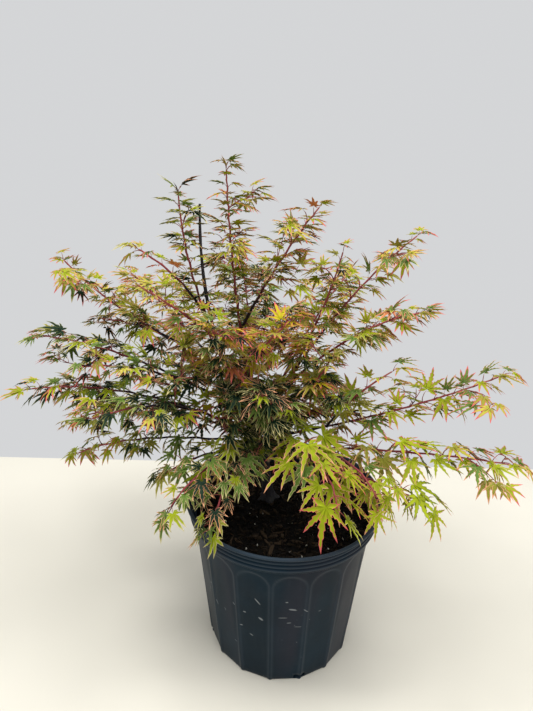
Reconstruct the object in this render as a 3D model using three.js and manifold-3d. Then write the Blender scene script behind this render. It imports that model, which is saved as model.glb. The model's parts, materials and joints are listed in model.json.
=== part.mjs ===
// A potted japanese maple: a small many-stemmed tree in a round nursery pot.
// Units are millimetres and +Z is up. The origin is the centre of the pot's flat underside,
// -Y is the plant's front and +X is its right.
//
// The plant is a trunk, its boughs and its masses of foliage. Every shoot is one row of SHOOTS:
// a bare bough that leaves its parent at a fork, then the mass of leaves that hides its outer part.

import * as THREE from 'three';
import { mergeVertices } from 'three/addons/utils/BufferGeometryUtils.js';
import Module from 'manifold-3d';

const wasm = await Module();
wasm.setup();

// ---------- driving dimensions ----------

const GAP = 0.3; // clearance between neighbouring solids
const STEP = 1; // height over which the pot's wall steps out

const POT = {
  height: 241,
  topRadius: 139.5, // over the lip
  baseRadius: 108, // at the corners of the base
  bodyTopRadius: 127.5, // just under the rim band
  bandHeight: 29,
  bandFootRadius: 132.5,
  bandFlare: 2, // how much wider the band is under the lip than at its foot
  wall: 2.2,
  floor: 4,
  facets: 16,
  facetTurn: -7.7, // degrees from the front
  facetRise: 196, // where a facet runs out into the round body
  facetRing: 0.85, // share of that height where the arches begin
  lipHeight: 4,
  segments: 32,
  drainHoles: 4,
  drainTurn: 15, // degrees from the front
  drainWidth: 16,
  drainHeight: 9,
  drainDepth: 10,
};

const SOIL = {
  drop: 31, // below the lip
  crown: 5, // how far the middle stands above the edge
  roughness: 0.8,
  wave: 52, // typical length of a hump
  rings: [1, 0.5], // shares of the radius
};

const TRUNK = {
  footX: -21,
  footY: 17,
  footRadius: 7.6,
  topRadius: 6.2,
  flare: 7,
  flareHeight: 12,
  azimuth: 170,
  lean: 10, // degrees from upright
  length: 109,
  sunk: 4, // how far its line starts under the level cut
  arch: 0.02,
  sway: 0,
  sides: 9,
};

// An old cut a little below the fork, where the top was grafted on.
const GRAFT_STUB = {
  at: 0.6, azimuth: 330, rise: 52, length: 17, radius: 4.6, arch: 0, sway: 0,
};

// A dead stem cut off square, bare to its top.
const CUT_STEM = {
  parent: 'left_stem', at: 0.3, azimuth: 216, rise: 82, length: 195, arch: -0.04, sway: -0.02,
  baseRadius: 2.9, topRadius: 1.7,
};

const BOUGH = {
  sides: 5,
  radiusPerLength: 0.0042, // radius gained for each millimetre that a bough feeds
  childShare: 0.5,
  tipRadius: 1.5,
  station: 34, // spacing of its rings
  fewestStations: 3,
};

const MASS = {
  sides: 6,
  station: 42,
  fewestStations: 4,
  socket: 9, // how far a bough reaches into its mass
  unevenness: 0.2,
  lobeAngle: 38, // degrees from the mass's own line, on a level shoot
  steepLobeAngle: 115, // and on an upright one
  lobeLength: 0.34, // of the mass's length
  lobeWidth: 0.7, // of the mass's width
  lobeArch: 0.05,
  lobeSides: 4,
  lobeStations: 2,
  lobeStart: 0.28, // where the first lobe leaves, as a share of the mass
  lobeStep: 0.26, // and how much further each next one does
  lobeRise: 0.6, // a lobe climbs this share of its mass's own rise
  lobeRiseSpread: 14, // degrees either way
  lobeLengthSpread: 0.4,
  mouth: 0.42, // width where the bough enters, as a share of the widest
  opening: 2.2, // how fast it widens
  closing: 2.4, // how late it narrows to its tip
};

// azimuth: degrees from +X towards +Y; rise: degrees above level; arch and sway: how far the middle
// stands off the straight line, upwards and sideways, as a share of the length; bare: the share of
// the length that is a bare bough; half: half the width of the mass; flat: its thickness over width;
// lobes: side sprays of the mass.
const SHOOTS = [
  { name: 'leader', parent: 'trunk', at: 0.98, azimuth: 164, rise: 83, length: 370,
    arch: -0.02, sway: 0, bare: 0.46, half: 20, flat: 0.85, lobes: 2 },
  { name: 'left_stem', parent: 'leader', at: 0.1, azimuth: 187, rise: 73, length: 315,
    arch: -0.06, sway: 0.02, bare: 0.5, half: 22, flat: 0.85, lobes: 2 },
  { name: 'far_left', parent: 'left_stem', at: 0.26, azimuth: 170, rise: 31, length: 270,
    arch: -0.08, sway: -0.04, bare: 0.3, half: 27, flat: 0.6, lobes: 2 },
  { name: 'left_long', parent: 'leader', at: 0.06, azimuth: 188, rise: 25, length: 320,
    arch: 0.08, sway: 0.04, bare: 0.36, half: 28, flat: 0.5, lobes: 2 },
  { name: 'left_tier', parent: 'trunk', at: 0.95, azimuth: 193, rise: 17, length: 325,
    arch: 0.11, sway: 0.06, bare: 0.3, half: 30, flat: 0.5, lobes: 2 },
  { name: 'left_mid', parent: 'trunk', at: 0.9, azimuth: 169, rise: -4, length: 325,
    arch: 0.1, sway: -0.04, bare: 0.26, half: 30, flat: 0.5, lobes: 2 },
  { name: 'left_low', parent: 'trunk', at: 0.84, azimuth: 188, rise: -2, length: 275,
    arch: 0.1, sway: 0.04, bare: 0.24, half: 30, flat: 0.5, lobes: 2 },
  { name: 'front_left', parent: 'trunk', at: 0.78, azimuth: 232, rise: -6, length: 190,
    arch: 0.22, sway: 0.08, bare: 0.3, half: 28, flat: 0.55, lobes: 1 },
  { name: 'front_right', parent: 'trunk', at: 0.86, azimuth: 295, rise: -6, length: 215,
    arch: 0.24, sway: 0.04, bare: 0.34, half: 30, flat: 0.5, lobes: 2 },
  { name: 'right_stem', parent: 'leader', at: 0.42, azimuth: 342, rise: 58, length: 205,
    arch: 0.02, sway: -0.04, bare: 0.36, half: 26, flat: 0.7, lobes: 2 },
  { name: 'right_up', parent: 'leader', at: 0.03, azimuth: 354, rise: 68, length: 285,
    arch: -0.04, sway: 0, bare: 0.46, half: 28, flat: 0.7, lobes: 2 },
  { name: 'right_far_up', parent: 'right_up', at: 0.24, azimuth: 12, rise: 49, length: 290,
    arch: 0.04, sway: 0.02, bare: 0.34, half: 27, flat: 0.65, lobes: 2 },
  { name: 'right_mid', parent: 'right_up', at: 0.17, azimuth: 343, rise: 37, length: 250,
    arch: 0.1, sway: -0.04, bare: 0.42, half: 27, flat: 0.55, lobes: 2 },
  { name: 'right_long', parent: 'trunk', at: 0.93, azimuth: 350, rise: 23, length: 355,
    arch: -0.02, sway: -0.02, bare: 0.26, half: 27, flat: 0.5, lobes: 2 },
  { name: 'right_low', parent: 'trunk', at: 0.8, azimuth: 340, rise: 8, length: 355,
    arch: 0.07, sway: -0.08, bare: 0.24, half: 26, flat: 0.5, lobes: 2 },
  { name: 'right_front', parent: 'trunk', at: 0.72, azimuth: 326, rise: 2, length: 265,
    arch: 0.12, sway: -0.1, bare: 0.42, half: 28, flat: 0.5, lobes: 2 },
  { name: 'back_left', parent: 'leader', at: 0.12, azimuth: 146, rise: 34, length: 300,
    arch: 0.04, sway: 0.02, bare: 0.42, half: 34, flat: 0.6, lobes: 2 },
  { name: 'back_mid', parent: 'leader', at: 0.16, azimuth: 98, rise: 36, length: 280,
    arch: 0.04, sway: -0.02, bare: 0.4, half: 34, flat: 0.6, lobes: 2 },
  { name: 'back_right', parent: 'right_up', at: 0.12, azimuth: 54, rise: 36, length: 295,
    arch: 0.04, sway: 0.02, bare: 0.4, half: 34, flat: 0.6, lobes: 2 },
  { name: 'back_low_left', parent: 'trunk', at: 0.88, azimuth: 124, rise: 10, length: 300,
    arch: 0.08, sway: 0.02, bare: 0.36, half: 36, flat: 0.55, lobes: 2 },
  { name: 'back_low_right', parent: 'trunk', at: 0.82, azimuth: 52, rise: 0, length: 265,
    arch: 0.08, sway: -0.02, bare: 0.36, half: 36, flat: 0.55, lobes: 2 },

  // Side sprays that start on a bough and are hidden in leaves from their first fork on.
  { name: 'left_up', parent: 'left_stem', at: 0.44, azimuth: 203, rise: 48, length: 150,
    arch: 0.08, sway: 0.1, bare: 0, half: 23, flat: 0.7, lobes: 1 },
  { name: 'left_front_up', parent: 'left_stem', at: 0.38, azimuth: 227, rise: 38, length: 160,
    arch: 0, sway: 0.12, bare: 0, half: 26, flat: 0.6, lobes: 1 },
  { name: 'far_left_side', parent: 'far_left', at: 0.3, azimuth: 160, rise: 5, length: 140,
    arch: 0.02, sway: -0.08, bare: 0, half: 26, flat: 0.5, lobes: 1 },
  { name: 'left_long_side', parent: 'left_long', at: 0.3, azimuth: 205, rise: 17, length: 170,
    arch: 0.08, sway: 0.04, bare: 0, half: 28, flat: 0.5, lobes: 1 },
  { name: 'left_tier_side', parent: 'left_tier', at: 0.3, azimuth: 213, rise: 7, length: 160,
    arch: 0.12, sway: 0.04, bare: 0, half: 28, flat: 0.5, lobes: 1 },
  { name: 'front_left_b', parent: 'front_left', at: 0.26, azimuth: 250, rise: -28, length: 130,
    arch: 0.16, sway: 0, bare: 0, half: 29, flat: 0.55, lobes: 1 },
  { name: 'front_left_c', parent: 'front_left', at: 0.2, azimuth: 206, rise: -10, length: 135,
    arch: 0.1, sway: 0.04, bare: 0, half: 27, flat: 0.5, lobes: 1 },
  { name: 'front_right_b', parent: 'front_right', at: 0.3, azimuth: 313, rise: -16, length: 175,
    arch: 0.18, sway: -0.02, bare: 0, half: 31, flat: 0.5, lobes: 1 },
  { name: 'centre_front', parent: 'leader', at: 0.26, azimuth: 298, rise: 42, length: 175,
    arch: -0.04, sway: -0.04, bare: 0, half: 40, flat: 0.6, lobes: 2 },
  { name: 'centre_left', parent: 'leader', at: 0.2, azimuth: 245, rise: 48, length: 160,
    arch: -0.08, sway: -0.02, bare: 0, half: 36, flat: 0.65, lobes: 1 },
  { name: 'centre_right', parent: 'right_up', at: 0.1, azimuth: 316, rise: 48, length: 160,
    arch: -0.08, sway: 0, bare: 0, half: 38, flat: 0.65, lobes: 1 },
  { name: 'centre_low', parent: 'leader', at: 0.02, azimuth: 270, rise: 44, length: 165,
    arch: -0.02, sway: 0.04, bare: 0, half: 44, flat: 0.65, lobes: 2 },
  { name: 'right_thin', parent: 'right_long', at: 0.34, azimuth: 316, rise: 52, length: 145,
    arch: 0.04, sway: -0.2, bare: 0, half: 26, flat: 0.5, lobes: 1 },
  { name: 'back_low_mid', parent: 'back_mid', at: 0.2, azimuth: 80, rise: 12, length: 180,
    arch: 0.05, sway: 0.05, bare: 0, half: 36, flat: 0.55, lobes: 2 },
];

// ---------- materials ----------

const paint = (color, roughness) => new THREE.MeshStandardMaterial({ color, roughness, metalness: 0 });
const potPlastic = () => paint(0x1b232e, 0.42);
const barkSoil = () => paint(0x2a1d14, 0.95);
const oldBark = () => paint(0x2b2226, 0.75);
const youngBark = () => paint(0x5a2a2c, 0.6);
const foliage = () => paint(0x6f7f35, 0.7);

// ---------- small helpers ----------

const radians = (degrees) => THREE.MathUtils.degToRad(degrees);

// A repeatable value from 0 to 1 for a whole number.
function chance(seed) {
  const x = Math.sin(seed * 127.1 + 11.7) * 43758.5453;
  return x - Math.floor(x);
}

function seedOf(name) {
  let seed = 7;
  for (const letter of name) seed = (seed * 31 + letter.charCodeAt(0)) % 9973;
  return seed;
}

// A smooth bend from start: a chord with its middle pushed up and sideways.
function bend(start, { azimuth, rise, length, arch, sway }) {
  const a = radians(azimuth);
  const e = radians(rise);
  const along = new THREE.Vector3(Math.cos(a) * Math.cos(e), Math.sin(a) * Math.cos(e), Math.sin(e));
  const side = new THREE.Vector3(-Math.sin(a), Math.cos(a), 0);
  const up = along.clone().cross(side);
  const end = start.clone().addScaledVector(along, length);
  const middle = start.clone().lerp(end, 0.5)
    .addScaledVector(up, 2 * length * arch)
    .addScaledVector(side, 2 * length * sway);
  return new THREE.QuadraticBezierCurve3(start, middle, end);
}

// Stacked rings of equal count, closed by a point at each end.
function ringSolid(rings, firstPoint, lastPoint) {
  const count = rings[0].length;
  const vertices = [firstPoint, ...rings.flat(), lastPoint];
  const last = vertices.length - 1;
  const index = [];
  for (let i = 0; i < count; i += 1) {
    const j = (i + 1) % count;
    index.push(0, 1 + j, 1 + i);
    for (let ring = 0; ring < rings.length - 1; ring += 1) {
      const low = 1 + ring * count;
      const high = low + count;
      index.push(low + i, low + j, high + j, low + i, high + j, high + i);
    }
    const top = last - count;
    index.push(top + i, top + j, last);
  }
  const geometry = new THREE.BufferGeometry();
  geometry.setAttribute('position',
    new THREE.Float32BufferAttribute(vertices.flatMap((v) => [v.x, v.y, v.z]), 3));
  geometry.setIndex(index);
  return geometry;
}

// Rings square to a curve. reach(share, corner, ring) gives the ring's half width and thickness.
function sweep(curve, from, to, stations, sides, reach) {
  const rings = [];
  const centres = [];
  for (let s = 0; s <= stations; s += 1) {
    const share = s / stations;
    const t = from + (to - from) * share;
    const centre = curve.getPoint(t);
    const along = curve.getTangent(t);
    const side = new THREE.Vector3(-along.y, along.x, 0);
    side.normalize();
    const up = along.clone().cross(side);
    const ring = [];
    for (let i = 0; i < sides; i += 1) {
      const angle = (2 * Math.PI * i) / sides;
      const [wide, thick] = reach(share, i, s);
      ring.push(centre.clone()
        .addScaledVector(side, Math.cos(angle) * wide)
        .addScaledVector(up, Math.sin(angle) * thick));
    }
    rings.push(ring);
    centres.push(centre);
  }
  return { rings, centres };
}

// ---------- solids for joining and cutting ----------

function toSolid(geometry) {
  const bare = geometry.clone();
  bare.deleteAttribute('normal');
  bare.deleteAttribute('uv');
  const merged = mergeVertices(bare, 1e-4);
  return new wasm.Manifold(new wasm.Mesh({
    numProp: 3,
    vertProperties: new Float32Array(merged.attributes.position.array),
    triVerts: new Uint32Array(merged.index.array),
  }));
}

function toGeometry(solid) {
  const { vertProperties, triVerts } = solid.getMesh();
  const geometry = new THREE.BufferGeometry();
  geometry.setAttribute('position', new THREE.Float32BufferAttribute(vertProperties, 3));
  geometry.setIndex(Array.from(triVerts));
  geometry.computeVertexNormals();
  return geometry;
}

const largest = (solid) => solid.decompose()
  .reduce((best, body) => (body.volume() > best.volume() ? body : best));

function boxesMeet(a, b) {
  const boxA = a.boundingBox();
  const boxB = b.boundingBox();
  return [0, 1, 2].every((k) => boxA.min[k] < boxB.max[k] && boxB.min[k] < boxA.max[k]);
}

// What is left of a solid, in one piece, clear of every one of the others.
function cutBy(solid, others) {
  let left = solid;
  for (const other of others) {
    if (boxesMeet(left, other)) left = left.subtract(other);
  }
  return largest(left);
}

// ---------- pot and soil ----------

// The pot's outer radius at an angle from the front: a cone, cut by flat facets that run out into
// the round body near the top, so that each ends in an arch.
function bodyRadius(z, angle) {
  const cone = THREE.MathUtils.lerp(POT.baseRadius, POT.bodyTopRadius,
    z / (POT.height - POT.bandHeight));
  const half = Math.PI / POT.facets;
  const middle = radians(POT.facetTurn) + half;
  const turn = ((angle - middle) % (2 * half) + 3 * half) % (2 * half) - half;
  const flatAtBase = POT.baseRadius * Math.cos(half);
  const coneAtRise = THREE.MathUtils.lerp(POT.baseRadius, POT.bodyTopRadius,
    POT.facetRise / (POT.height - POT.bandHeight));
  const facet = THREE.MathUtils.lerp(flatAtBase, coneAtRise, z / POT.facetRise) / Math.cos(turn);
  return Math.min(cone, facet);
}

const potPoint = (radius, angle, z) =>
  new THREE.Vector3(Math.sin(angle) * radius, -Math.cos(angle) * radius, z);

function potRing(z, radiusAt) {
  const ring = [];
  const start = radians(POT.facetTurn);
  for (let i = 0; i < POT.segments; i += 1) {
    const angle = start + (2 * Math.PI * i) / POT.segments;
    ring.push(potPoint(radiusAt(angle), angle, z));
  }
  return ring;
}

// The pot without its drain holes, its inside drawn in by a clearance.
function potShell(clearance) {
  const bandFoot = POT.height - POT.bandHeight;
  const archFoot = POT.facetRise * POT.facetRing;
  const lipFoot = POT.height - POT.lipHeight;
  const bandTopRadius = POT.bandFootRadius + POT.bandFlare;
  const round = (radius) => () => radius;
  const outerRings = [
    potRing(0, (angle) => bodyRadius(0, angle)),
    potRing(archFoot, (angle) => bodyRadius(archFoot, angle)),
    potRing(bandFoot, (angle) => bodyRadius(bandFoot, angle)),
    potRing(bandFoot + STEP, round(POT.bandFootRadius)),
    potRing(lipFoot - STEP, round(bandTopRadius)),
    potRing(lipFoot, round(POT.topRadius)),
    potRing(POT.height, round(POT.topRadius)),
  ];
  const inset = POT.wall + clearance;
  const innerRings = [
    potRing(POT.height, round(bandTopRadius - inset)),
    potRing(bandFoot + STEP, round(POT.bandFootRadius - inset)),
    potRing(bandFoot, (angle) => bodyRadius(bandFoot, angle) - inset),
    potRing(POT.floor, (angle) => bodyRadius(POT.floor, angle) - inset),
  ];
  return toSolid(ringSolid([...outerRings, ...innerRings],
    new THREE.Vector3(0, 0, 0), new THREE.Vector3(0, 0, POT.floor)));
}

function makePot() {
  const holes = [];
  for (let i = 0; i < POT.drainHoles; i += 1) {
    const angle = radians(POT.drainTurn) + (2 * Math.PI * i) / POT.drainHoles;
    const box = new THREE.BoxGeometry(POT.drainWidth, POT.drainDepth * 2, POT.drainHeight * 2);
    box.rotateZ(angle);
    const at = potPoint(POT.baseRadius, angle, 0);
    box.translate(at.x, at.y, at.z);
    holes.push(toSolid(box));
  }
  return cutBy(potShell(0), holes);
}

function soilHeight(x, y) {
  const edge = POT.height - SOIL.drop;
  const radius = Math.hypot(x, y) / POT.bodyTopRadius;
  const rough = Math.sin((2 * Math.PI * x) / SOIL.wave) * Math.cos((2 * Math.PI * y) / SOIL.wave);
  return edge + SOIL.crown * (1 - radius * radius) + SOIL.roughness * rough * (1 - radius);
}

// The soil is a blank that reaches into the wall, trimmed by the shell with a clearance.
function makeSoil() {
  const foot = POT.floor + POT.drainHeight;
  const edge = POT.height - SOIL.drop;
  const rings = [potRing(foot, () => POT.baseRadius + POT.wall)];
  for (const share of SOIL.rings) {
    const ring = potRing(edge, () => POT.bodyTopRadius * share);
    for (const point of ring) point.z = soilHeight(point.x, point.y);
    rings.push(ring);
  }
  const blank = toSolid(ringSolid(rings, new THREE.Vector3(0, 0, foot),
    new THREE.Vector3(0, 0, soilHeight(0, 0))));
  return cutBy(blank, [potShell(GAP)]);
}

// ---------- trunk and boughs ----------

// A limb is a tapering tube round the first part of a curve, with flat ends and a clearance.
function limbSolid(curve, to, radiusAt, sides, clearance) {
  const stations = Math.max(BOUGH.fewestStations, Math.ceil((curve.getLength() * to) / BOUGH.station));
  const { rings, centres } = sweep(curve, 0, to, stations, sides, (share) => {
    const radius = radiusAt(to * share) + clearance;
    return [radius, radius];
  });
  return toSolid(ringSolid(rings, centres[0], centres[centres.length - 1]));
}

const trunkFoot = new THREE.Vector3(TRUNK.footX, TRUNK.footY, soilHeight(TRUNK.footX, TRUNK.footY));
const trunkStart = trunkFoot.clone().setZ(trunkFoot.z - TRUNK.sunk);
const trunkCurve = bend(trunkStart, { ...TRUNK, rise: 90 - TRUNK.lean });

function trunkRadius(t) {
  const taper = THREE.MathUtils.lerp(TRUNK.footRadius, TRUNK.topRadius, t);
  return taper + TRUNK.flare * Math.exp((-t * TRUNK.length) / TRUNK.flareHeight);
}

// The flare and the foot follow the curve; a level cut at the soil makes the foot flat.
function makeTrunk(clearance) {
  const body = limbSolid(trunkCurve, 1, trunkRadius, TRUNK.sides, clearance);
  const stubStart = trunkCurve.getPoint(GRAFT_STUB.at);
  const stub = limbSolid(bend(stubStart, GRAFT_STUB), 1, () => GRAFT_STUB.radius, BOUGH.sides,
    clearance);
  const depth = TRUNK.length;
  const ground = new THREE.BoxGeometry(depth, depth, depth);
  ground.translate(trunkFoot.x, trunkFoot.y, trunkFoot.z + GAP - depth / 2);
  return body.add(stub).subtract(toSolid(ground));
}

const curves = { trunk: trunkCurve };

// How much shoot a bough feeds: its own length and a share of its children's.
function fedLength(shoot) {
  const children = SHOOTS.filter((other) => other.parent === shoot.name);
  return children.reduce((sum, child) => sum + BOUGH.childShare * fedLength(child), shoot.length);
}

function boughRadius(shoot) {
  const base = BOUGH.tipRadius + BOUGH.radiusPerLength * fedLength(shoot);
  return (t) => THREE.MathUtils.lerp(base, BOUGH.tipRadius, Math.min(1, t / shoot.bare));
}

// ---------- foliage ----------

// The width of a mass along its line: it opens from the bough, is widest early and closes to a tip.
function massProfile(share) {
  const open = Math.min(1, MASS.mouth + share * MASS.opening);
  const close = Math.sqrt(Math.max(0, 1 - share ** MASS.closing));
  return open * close;
}

function spray(curve, from, half, flat, seed, sides, stations, clearance) {
  const { rings, centres } = sweep(curve, from, 1, stations, sides, (share, i, s) => {
    const lump = 1 + MASS.unevenness * (2 * chance(seed + 13 * s + i) - 1);
    const wide = half * massProfile(share) * lump + clearance;
    return [wide, wide * flat];
  });
  rings.pop();
  return toSolid(ringSolid(rings, centres[0], centres[centres.length - 1]));
}

function massSolid(shoot, clearance) {
  const curve = curves[shoot.name];
  const seed = seedOf(shoot.name);
  const length = shoot.length * (1 - shoot.bare);
  const stations = Math.max(MASS.fewestStations, Math.round(length / MASS.station));
  let body = spray(curve, shoot.bare, shoot.half, shoot.flat, seed, MASS.sides, stations, clearance);
  for (let i = 0; i < shoot.lobes; i += 1) {
    const at = shoot.bare + (1 - shoot.bare) * (MASS.lobeStart + MASS.lobeStep * i);
    const along = curve.getTangent(at);
    const handed = (i + seed) % 2 === 0 ? 1 : -1;
    const turn = THREE.MathUtils.lerp(MASS.lobeAngle, MASS.steepLobeAngle, along.z ** 2);
    const rise = THREE.MathUtils.radToDeg(Math.asin(along.z)) * MASS.lobeRise;
    const share = MASS.lobeLength * (1 + MASS.lobeLengthSpread * (chance(seed + 5 * i) - 0.25));
    const lobe = bend(curve.getPoint(at), {
      azimuth: THREE.MathUtils.radToDeg(Math.atan2(along.y, along.x)) + handed * turn,
      rise: rise + MASS.lobeRiseSpread * (2 * chance(seed + i) - 1),
      length: length * share,
      arch: MASS.lobeArch,
      sway: 0,
    });
    body = body.add(spray(lobe, 0, shoot.half * MASS.lobeWidth, shoot.flat,
      seed + 40 + i, MASS.lobeSides, MASS.lobeStations, clearance));
  }
  return body;
}

// ---------- the assembly ----------

function named(name, solid, material) {
  const mesh = new THREE.Mesh(toGeometry(solid), material);
  mesh.name = name;
  return mesh;
}

const maple = new THREE.Group();
maple.name = 'potted_japanese_maple';
maple.add(named('pot', makePot(), potPlastic()));
maple.add(named('soil', makeSoil(), barkSoil()));
maple.add(named('trunk', makeTrunk(0), oldBark()));

for (const shoot of SHOOTS) {
  curves[shoot.name] = bend(curves[shoot.parent].getPoint(shoot.at), shoot);
}

// Limbs are cut where they leave their parents, the thickest first.
const wood = [makeTrunk(GAP)];
function addLimb(name, curve, to, radiusAt, material) {
  maple.add(named(name, cutBy(limbSolid(curve, to, radiusAt, BOUGH.sides, 0), wood), material));
  wood.push(limbSolid(curve, to, radiusAt, BOUGH.sides, GAP));
}
for (const shoot of SHOOTS.filter(({ bare }) => bare > 0)) {
  const curve = curves[shoot.name];
  const socketed = shoot.bare + MASS.socket / shoot.length;
  addLimb(`bough_${shoot.name}`, curve, socketed, boughRadius(shoot), youngBark());
}
const cutStemCurve = bend(curves[CUT_STEM.parent].getPoint(CUT_STEM.at), CUT_STEM);
addLimb('cut_stem', cutStemCurve, 1,
  (t) => THREE.MathUtils.lerp(CUT_STEM.baseRadius, CUT_STEM.topRadius, t), oldBark());

// Masses are cut round the wood, the pot and the masses before them.
const taken = [...wood];
for (const shoot of SHOOTS) {
  maple.add(named(`foliage_${shoot.name}`, cutBy(massSolid(shoot, 0), taken), foliage()));
  taken.push(massSolid(shoot, GAP));
}

export default maple;
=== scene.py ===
"""Looks of a potted maple: pot, soil, bark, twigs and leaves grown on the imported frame."""

import json
import math
from typing import NamedTuple

import bmesh
import bpy
import numpy as np
from bpy.props import FloatProperty, FloatVectorProperty, IntProperty, PointerProperty
from mathutils import Euler, Matrix, Vector, noise
from mathutils.bvhtree import BVHTree

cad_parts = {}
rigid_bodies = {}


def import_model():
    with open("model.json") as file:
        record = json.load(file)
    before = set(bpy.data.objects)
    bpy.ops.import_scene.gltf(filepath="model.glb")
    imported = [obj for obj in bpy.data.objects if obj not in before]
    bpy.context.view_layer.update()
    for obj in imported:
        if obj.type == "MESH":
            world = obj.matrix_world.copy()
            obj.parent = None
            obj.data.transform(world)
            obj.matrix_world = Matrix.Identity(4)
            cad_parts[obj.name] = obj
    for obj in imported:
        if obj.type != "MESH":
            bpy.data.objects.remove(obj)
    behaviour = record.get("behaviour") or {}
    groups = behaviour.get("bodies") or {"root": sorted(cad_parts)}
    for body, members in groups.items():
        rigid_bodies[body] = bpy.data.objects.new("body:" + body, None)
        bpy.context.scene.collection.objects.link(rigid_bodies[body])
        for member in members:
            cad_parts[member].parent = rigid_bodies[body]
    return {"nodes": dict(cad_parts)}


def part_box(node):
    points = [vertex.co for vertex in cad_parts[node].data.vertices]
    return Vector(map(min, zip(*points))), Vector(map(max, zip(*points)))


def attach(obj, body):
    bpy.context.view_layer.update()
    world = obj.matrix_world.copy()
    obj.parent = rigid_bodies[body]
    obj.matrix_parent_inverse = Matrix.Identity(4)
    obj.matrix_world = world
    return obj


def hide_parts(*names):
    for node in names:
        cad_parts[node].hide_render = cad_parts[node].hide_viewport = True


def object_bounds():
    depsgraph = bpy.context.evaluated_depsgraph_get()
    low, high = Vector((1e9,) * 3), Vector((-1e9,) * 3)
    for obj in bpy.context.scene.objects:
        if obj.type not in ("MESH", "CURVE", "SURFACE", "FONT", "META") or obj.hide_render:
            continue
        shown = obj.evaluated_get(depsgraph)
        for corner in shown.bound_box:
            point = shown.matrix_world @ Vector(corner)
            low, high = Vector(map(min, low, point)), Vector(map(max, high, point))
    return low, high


bl_info = {
    "name": "Potted Maple",
    "version": (1, 0, 0),
    "blender": (4, 5, 0),
    "location": "View3D > Sidebar > Potted Maple",
    "description": "Grows a potted maple's bark, twigs and leaves on its packed frame",
    "category": "Object",
}

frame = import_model()
CAD_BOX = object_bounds()

BODY = "root"
UP = np.array([0.0, 0.0, 1.0])
WOOD_NODES = sorted(name for name in frame["nodes"] if name.startswith("bough_"))
POT_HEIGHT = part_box("pot")[1].z
SOIL_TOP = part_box("soil")[1].z
MM = 0.001


# ---------- sprays ----------


class Spray(NamedTuple):
    """How one mass of foliage grows. leaf is the length of a leaf's middle lobe in millimetres,
    hang how far leaves droop in degrees, gap how far a place may be from the nearest leaf's middle
    in millimetres, flush how red the young wood is, from 0 to 1, and parent the bough that a side
    spray forks from. A spray without a parent grows on from the bough of its own name."""

    name: str
    leaf: float
    hang: float
    gap: float
    palette: str
    flush: float
    parent: str = ""


SPRAYS = (
    Spray("leader", 27, 6, 21, "upright", 1.0),
    Spray("left_stem", 26, 0, 24, "shaded", 0.6),
    Spray("far_left", 26, 8, 25, "flushed", 0.6),
    Spray("left_long", 26, 10, 23, "tier", 0.4),
    Spray("left_tier", 26, 12, 24, "tier", 0.3),
    Spray("left_mid", 27, 18, 31, "tier", 0.3),
    Spray("left_low", 29, 34, 68, "low", 0.3),
    Spray("front_left", 30, 26, 28, "front_left", 0.3),
    Spray("front_right", 49, 44, 58, "bright", 0.5),
    Spray("right_stem", 26, 2, 23, "flushed", 0.9),
    Spray("right_up", 26, 8, 25, "upright", 0.8),
    Spray("right_far_up", 27, 8, 27, "flushed", 0.9),
    Spray("right_mid", 27, 8, 22, "flushed", 0.9),
    Spray("right_long", 35, 12, 38, "bright_right", 0.8),
    Spray("right_low", 37, 24, 48, "bright_right", 0.7),
    Spray("right_front", 42, 34, 44, "bright", 0.6),
    Spray("back_left", 25, 4, 24, "upright", 0.5),
    Spray("back_mid", 25, 4, 21, "shaded", 0.5),
    Spray("back_right", 25, 4, 26, "upright", 0.6),
    Spray("back_low_left", 26, 8, 34, "tier", 0.3),
    Spray("back_low_right", 26, 8, 28, "tier", 0.3),
    Spray("left_up", 26, 6, 26, "upright", 0.6, "left_stem"),
    Spray("left_front_up", 26, 2, 29, "flushed", 0.8, "left_stem"),
    Spray("far_left_side", 26, 4, 24, "shaded", 0.5, "far_left"),
    Spray("left_long_side", 26, 10, 25, "tier", 0.4, "left_long"),
    Spray("left_tier_side", 26, 12, 33, "tier", 0.3, "left_tier"),
    Spray("front_left_b", 30, 30, 28, "front_left", 0.3, "front_left"),
    Spray("front_left_c", 30, 26, 28, "front_left", 0.3, "front_left"),
    Spray("front_right_b", 49, 54, 58, "bright", 0.5, "front_right"),
    Spray("centre_front", 25, 3, 20, "glow", 0.7, "leader"),
    Spray("centre_left", 24, 3, 17, "centre", 0.7, "leader"),
    Spray("centre_right", 25, 3, 17, "centre", 0.7, "right_up"),
    Spray("centre_low", 25, 4, 16, "inner", 0.4, "leader"),
    Spray("right_thin", 35, 10, 38, "bright_right", 0.8, "right_long"),
    Spray("back_low_mid", 26, 6, 18, "inner", 0.4, "back_mid"),
)

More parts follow.
